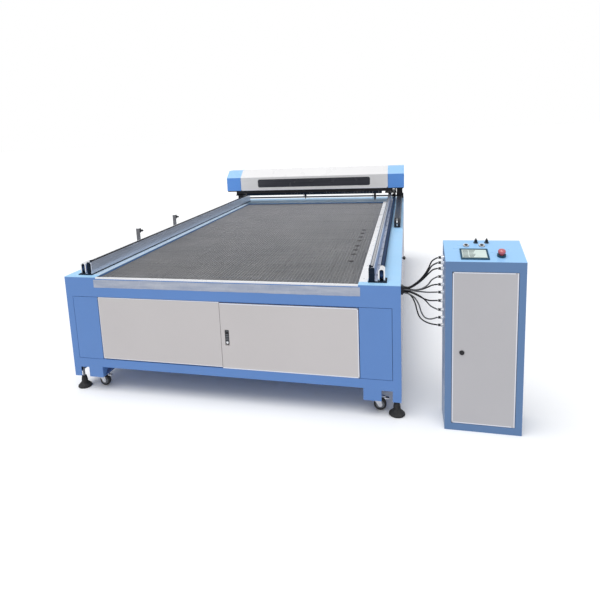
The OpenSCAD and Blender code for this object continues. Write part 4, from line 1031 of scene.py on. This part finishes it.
# Place across the chain, radius and material slot of each hose
HOSES = ((-0.0145, 0.0042, 0), (-0.0010, 0.0070, 1), (0.0115, 0.0042, 0), (0.0185, 0.0024, 2))
HOSE_FINISHES = [sheath_black, white_plastic, sheath_grey]
PIN_INSET, PIN_R, PIN_H = 0.0088, 0.0042, 0.0007
BEND_AHEAD = 0.0058
run_low, run_high = span("chain_run")
loop_low, loop_high = span("chain_loop")
chain_x = (run_low.x + run_high.x) / 2
run_z = (run_low.z + run_high.z) / 2
lower_z = loop_low.z + LINK_H / 2
bend_y = run_low.y - BEND_AHEAD


def add_tube(bm, points, radius, slot_index, sides=8):
    """Round tube through points that lie in a plane of constant X."""
    rings = []
    for i, point in enumerate(points):
        ahead = points[min(i + 1, len(points) - 1)] - points[max(i - 1, 0)]
        level = Vector((1.0, 0.0, 0.0))
        up = ahead.normalized().cross(level)
        rings.append([bm.verts.new(point + radius * (c * level + s * up)) for c, s in circle(sides)])
    for low, high in zip(rings, rings[1:]):
        for k in range(sides):
            face = bm.faces.new((low[k], low[(k + 1) % sides], high[(k + 1) % sides], high[k]))
            face.material_index = slot_index
            face.smooth = True
    bm.faces.new(list(reversed(rings[0]))).material_index = slot_index
    bm.faces.new(rings[-1]).material_index = slot_index


def add_pins(bm, low, high, front, z, slot_index=0):
    """Link pins on both sides of a straight stretch of the chain that starts at front."""
    for y in spaced(front + PIN_INSET, high.y - PIN_INSET, LINK_PITCH):
        for edge, sign in ((low.x, -1), (high.x, 1)):
            add_disc(bm, at(edge, y, z), (sign, 0, 0), PIN_R, PIN_H, 10, slot_index)


def make_chain_run():
    """The upper run's links with their pins and the hoses inside."""
    bm = bmesh.new()
    bm.from_mesh(nodes["chain_run"].data)
    for face in bm.faces:
        face.material_index = 0
    add_pins(bm, run_low, run_high, run_low.y, run_z, 4)
    for offset, radius, slot_index in HOSES:
        add_tube(bm, [at(chain_x + offset, y, run_z) for y in (run_low.y - 0.004, run_high.y - 0.001)],
                 radius, slot_index + 1)
    run = piece("energy_chain_run", "gantry", [chain_plastic, *HOSE_FINISHES, dark_steel], bm)
    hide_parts("chain_run")
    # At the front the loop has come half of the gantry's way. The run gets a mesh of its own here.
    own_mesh(run)


def make_chain_hoses():
    """The hoses through the lower run and round the bend."""
    bend_r = (run_z - lower_z) / 2
    steps = 12
    bm = bmesh.new()
    for offset, radius, slot_index in HOSES:
        x = chain_x + offset
        line = [at(x, loop_high.y - 0.002, lower_z), at(x, bend_y + 0.01, lower_z)]
        for turn in (math.pi * k / steps for k in range(steps + 1)):
            line.append(at(x, bend_y - bend_r * math.sin(turn), lower_z + bend_r - bend_r * math.cos(turn)))
        add_tube(bm, line, radius, slot_index)
    piece("energy_chain_hoses", "chain_loop", HOSE_FINISHES, bm)


def make_chain_pins():
    """The lower run's pins."""
    bm = bmesh.new()
    add_pins(bm, loop_low, loop_high, bend_y, lower_z)
    piece("energy_chain_pins", "chain_loop", dark_steel, bm)


make_chain_run()
make_chain_hoses()
make_chain_pins()


# ---------- console panel

def panel_box(bm, low, high, slot_index=0):
    """Block on the sloping panel: across, up the slope, outwards."""
    made = add_box(bm, low, high, slot_index)
    bmesh.ops.transform(bm, matrix=PANEL, verts=made)


def make_display():
    """Screen behind the bezel with plain bars where the readings stand."""
    left, bottom, right, top = 0.0872, 0.0292, 0.2158, 0.1188
    back, glass, print_low, print_high = 0.0028, 0.0042, 0.0040, 0.0044
    rows, row_pitch, row_h, first_row = 6, 0.0125, 0.0055, 0.014
    bm = bmesh.new()
    panel_box(bm, (left, bottom, back), (right, top, glass))
    for row in range(rows):
        v = top - first_row - row * row_pitch
        for start, end in ((0.006, 0.034), (0.038, 0.070 - 0.005 * (row % 3))):
            panel_box(bm, (left + start, v, print_low), (left + end, v + row_h, print_high), 1)
    panel_box(bm, (left + 0.078, bottom + 0.014, print_low), (right - 0.008, top - 0.012, print_high), 2)
    panel_box(bm, (left + 0.004, bottom + 0.003, print_low), (right - 0.004, bottom + 0.009, print_high), 1)
    piece("display", "cabinet", [screen_glass, segment_dark, screen_pale], bm)


def make_switch_rings():
    """Raised rings round the push buttons and the selectors."""
    bm = bmesh.new()
    sunk, width = 0.0006, 0.0014
    for spots, r in ((PUSH_BUTTONS, 0.0150), (SELECTORS.values(), 0.0110)):
        for u, v in spots:
            add_lathe(bm, PANEL @ Vector((u, v, 0.0)), PANEL.to_3x3() @ UP,
                      [(r - sunk, 0.0), (r + width, 0.0), (r + width, 0.0024), (r - sunk, 0.0034)], 28)
    piece("switch_rings", "cabinet", dark_steel, bm)


def make_selector_mark(side):
    """White pointer line across the top of a selector's grip."""
    u, v = SELECTORS[side]
    top, half_w, half_l = 0.0288, 0.0009, 0.0045
    bm = bmesh.new()
    panel_box(bm, (u - half_w, v - half_l, top - 0.0006), (u + half_w, v + half_l, top + 0.0004))
    piece(f"selector_mark_{side}", f"selector_{side}", white_plastic, bm)


make_display()
make_switch_rings()
for side in SIDES:
    make_selector_mark(side)


# ---------- connectors

def make_connector_rings():
    """Dark boots and knurled rings of the console's connectors."""
    back = span("cable_plugs")[1].x
    ribs, rib_r, rib_l, half_w = 16, 0.0099, 0.0085, 0.0009
    bm = bmesh.new()
    for x, y, z in (route[-1] for route in ROUTES):
        add_lathe(bm, at(x, y, z), (1, 0, 0),
                  [(0.0052, 0.0), (0.0074, 0.003), (0.0078, 0.012), (0.0078, 0.0158)], 16, 1)
        for c, s in circle(ribs):
            spot = at(back - 0.0130, y + rib_r * c, z + rib_r * s)
            add_box(bm, spot - Vector((0.0, half_w, half_w)), spot + Vector((rib_l, half_w, half_w)))
    piece("connector_rings", "cabinet", [bright_steel, black_rubber], bm)


def make_gland_comb():
    """Rounded rubber block in the cabinet's gland that the cables come out of."""
    face_x = span("cable_gland")[1].x
    bm = bmesh.new()
    made = add_box(bm, at(face_x - 0.001, 0.0635, 0.7475), at(face_x + 0.007, 0.0965, 0.7905))
    bmesh.ops.bevel(bm, geom=edges_of(made), offset=0.003, segments=2, affect="EDGES")
    piece("gland_comb", "cabinet", black_rubber, bm)


make_connector_rings()
make_gland_comb()


# ---------- stage

FLOOR_REACH, FLOOR_DROP = 400.0, 0.0005
FLOOR_GREY = (0.66, 0.66, 0.66)
SKY_TINT, SKY_LEVEL = (0.95, 0.97, 1.0), 0.58
WHITE = (1.0, 1.0, 1.0)


def seen_from_outside(tree):
    """One where the camera looks, also in a reflection or through glass, and none elsewhere."""
    path = tree.nodes.new("ShaderNodeLightPath")
    total = path.outputs["Is Camera Ray"]
    for name in ("Is Glossy Ray", "Is Transmission Ray"):
        both = tree.nodes.new("ShaderNodeMath")
        both.operation = "MAXIMUM"
        tree.links.new(total, both.inputs[0])
        tree.links.new(path.outputs[name], both.inputs[1])
        total = both.outputs[0]
    return total


def make_floor():
    """White floor that runs out to the horizon."""
    bm = bmesh.new()
    bmesh.ops.create_grid(bm, x_segments=1, y_segments=1, size=FLOOR_REACH)
    mesh = bpy.data.meshes.new("floor")
    bm.to_mesh(mesh)
    bm.free()
    floor = linked("floor", mesh)
    floor.location.z = -FLOOR_DROP
    finish = Finish("floor_white", WHITE, 0.9, specular=0.0)
    finish.paint(finish.blend(seen_from_outside(finish.tree), FLOOR_GREY, WHITE))
    mesh.materials.append(finish.material)


def make_world():
    """Even pale surroundings that light the object, white where they are seen."""
    world = bpy.data.worlds.new("studio")
    scene.world = world
    world.use_nodes = True
    tree = world.node_tree
    tree.nodes.clear()
    out = tree.nodes.new("ShaderNodeOutputWorld")
    mix = tree.nodes.new("ShaderNodeMixShader")
    tree.links.new(seen_from_outside(tree), mix.inputs["Fac"])
    for index, colour, level in ((1, SKY_TINT, SKY_LEVEL), (2, WHITE, 1.0)):
        glow = tree.nodes.new("ShaderNodeBackground")
        glow.inputs["Color"].default_value = (*colour, 1.0)
        glow.inputs["Strength"].default_value = level
        tree.links.new(glow.outputs[0], mix.inputs[index])
    tree.links.new(mix.outputs[0], out.inputs["Surface"])


def make_sun(name, direction, level, spread):
    """Distant soft lamp that shines along direction."""
    data = bpy.data.lights.new(name, "SUN")
    data.energy = level
    data.angle = math.radians(spread)
    lamp = linked(name, data)
    lamp.rotation_mode = "QUATERNION"
    lamp.rotation_quaternion = Vector(direction).to_track_quat("-Z", "Y")


make_floor()
make_world()
make_sun("key", (0.20, 0.28, -1.0), 1.75, 50.0)
make_sun("fill", (-0.25, 0.9, -0.35), 0.38, 70.0)
scene.view_settings.view_transform = "Standard"
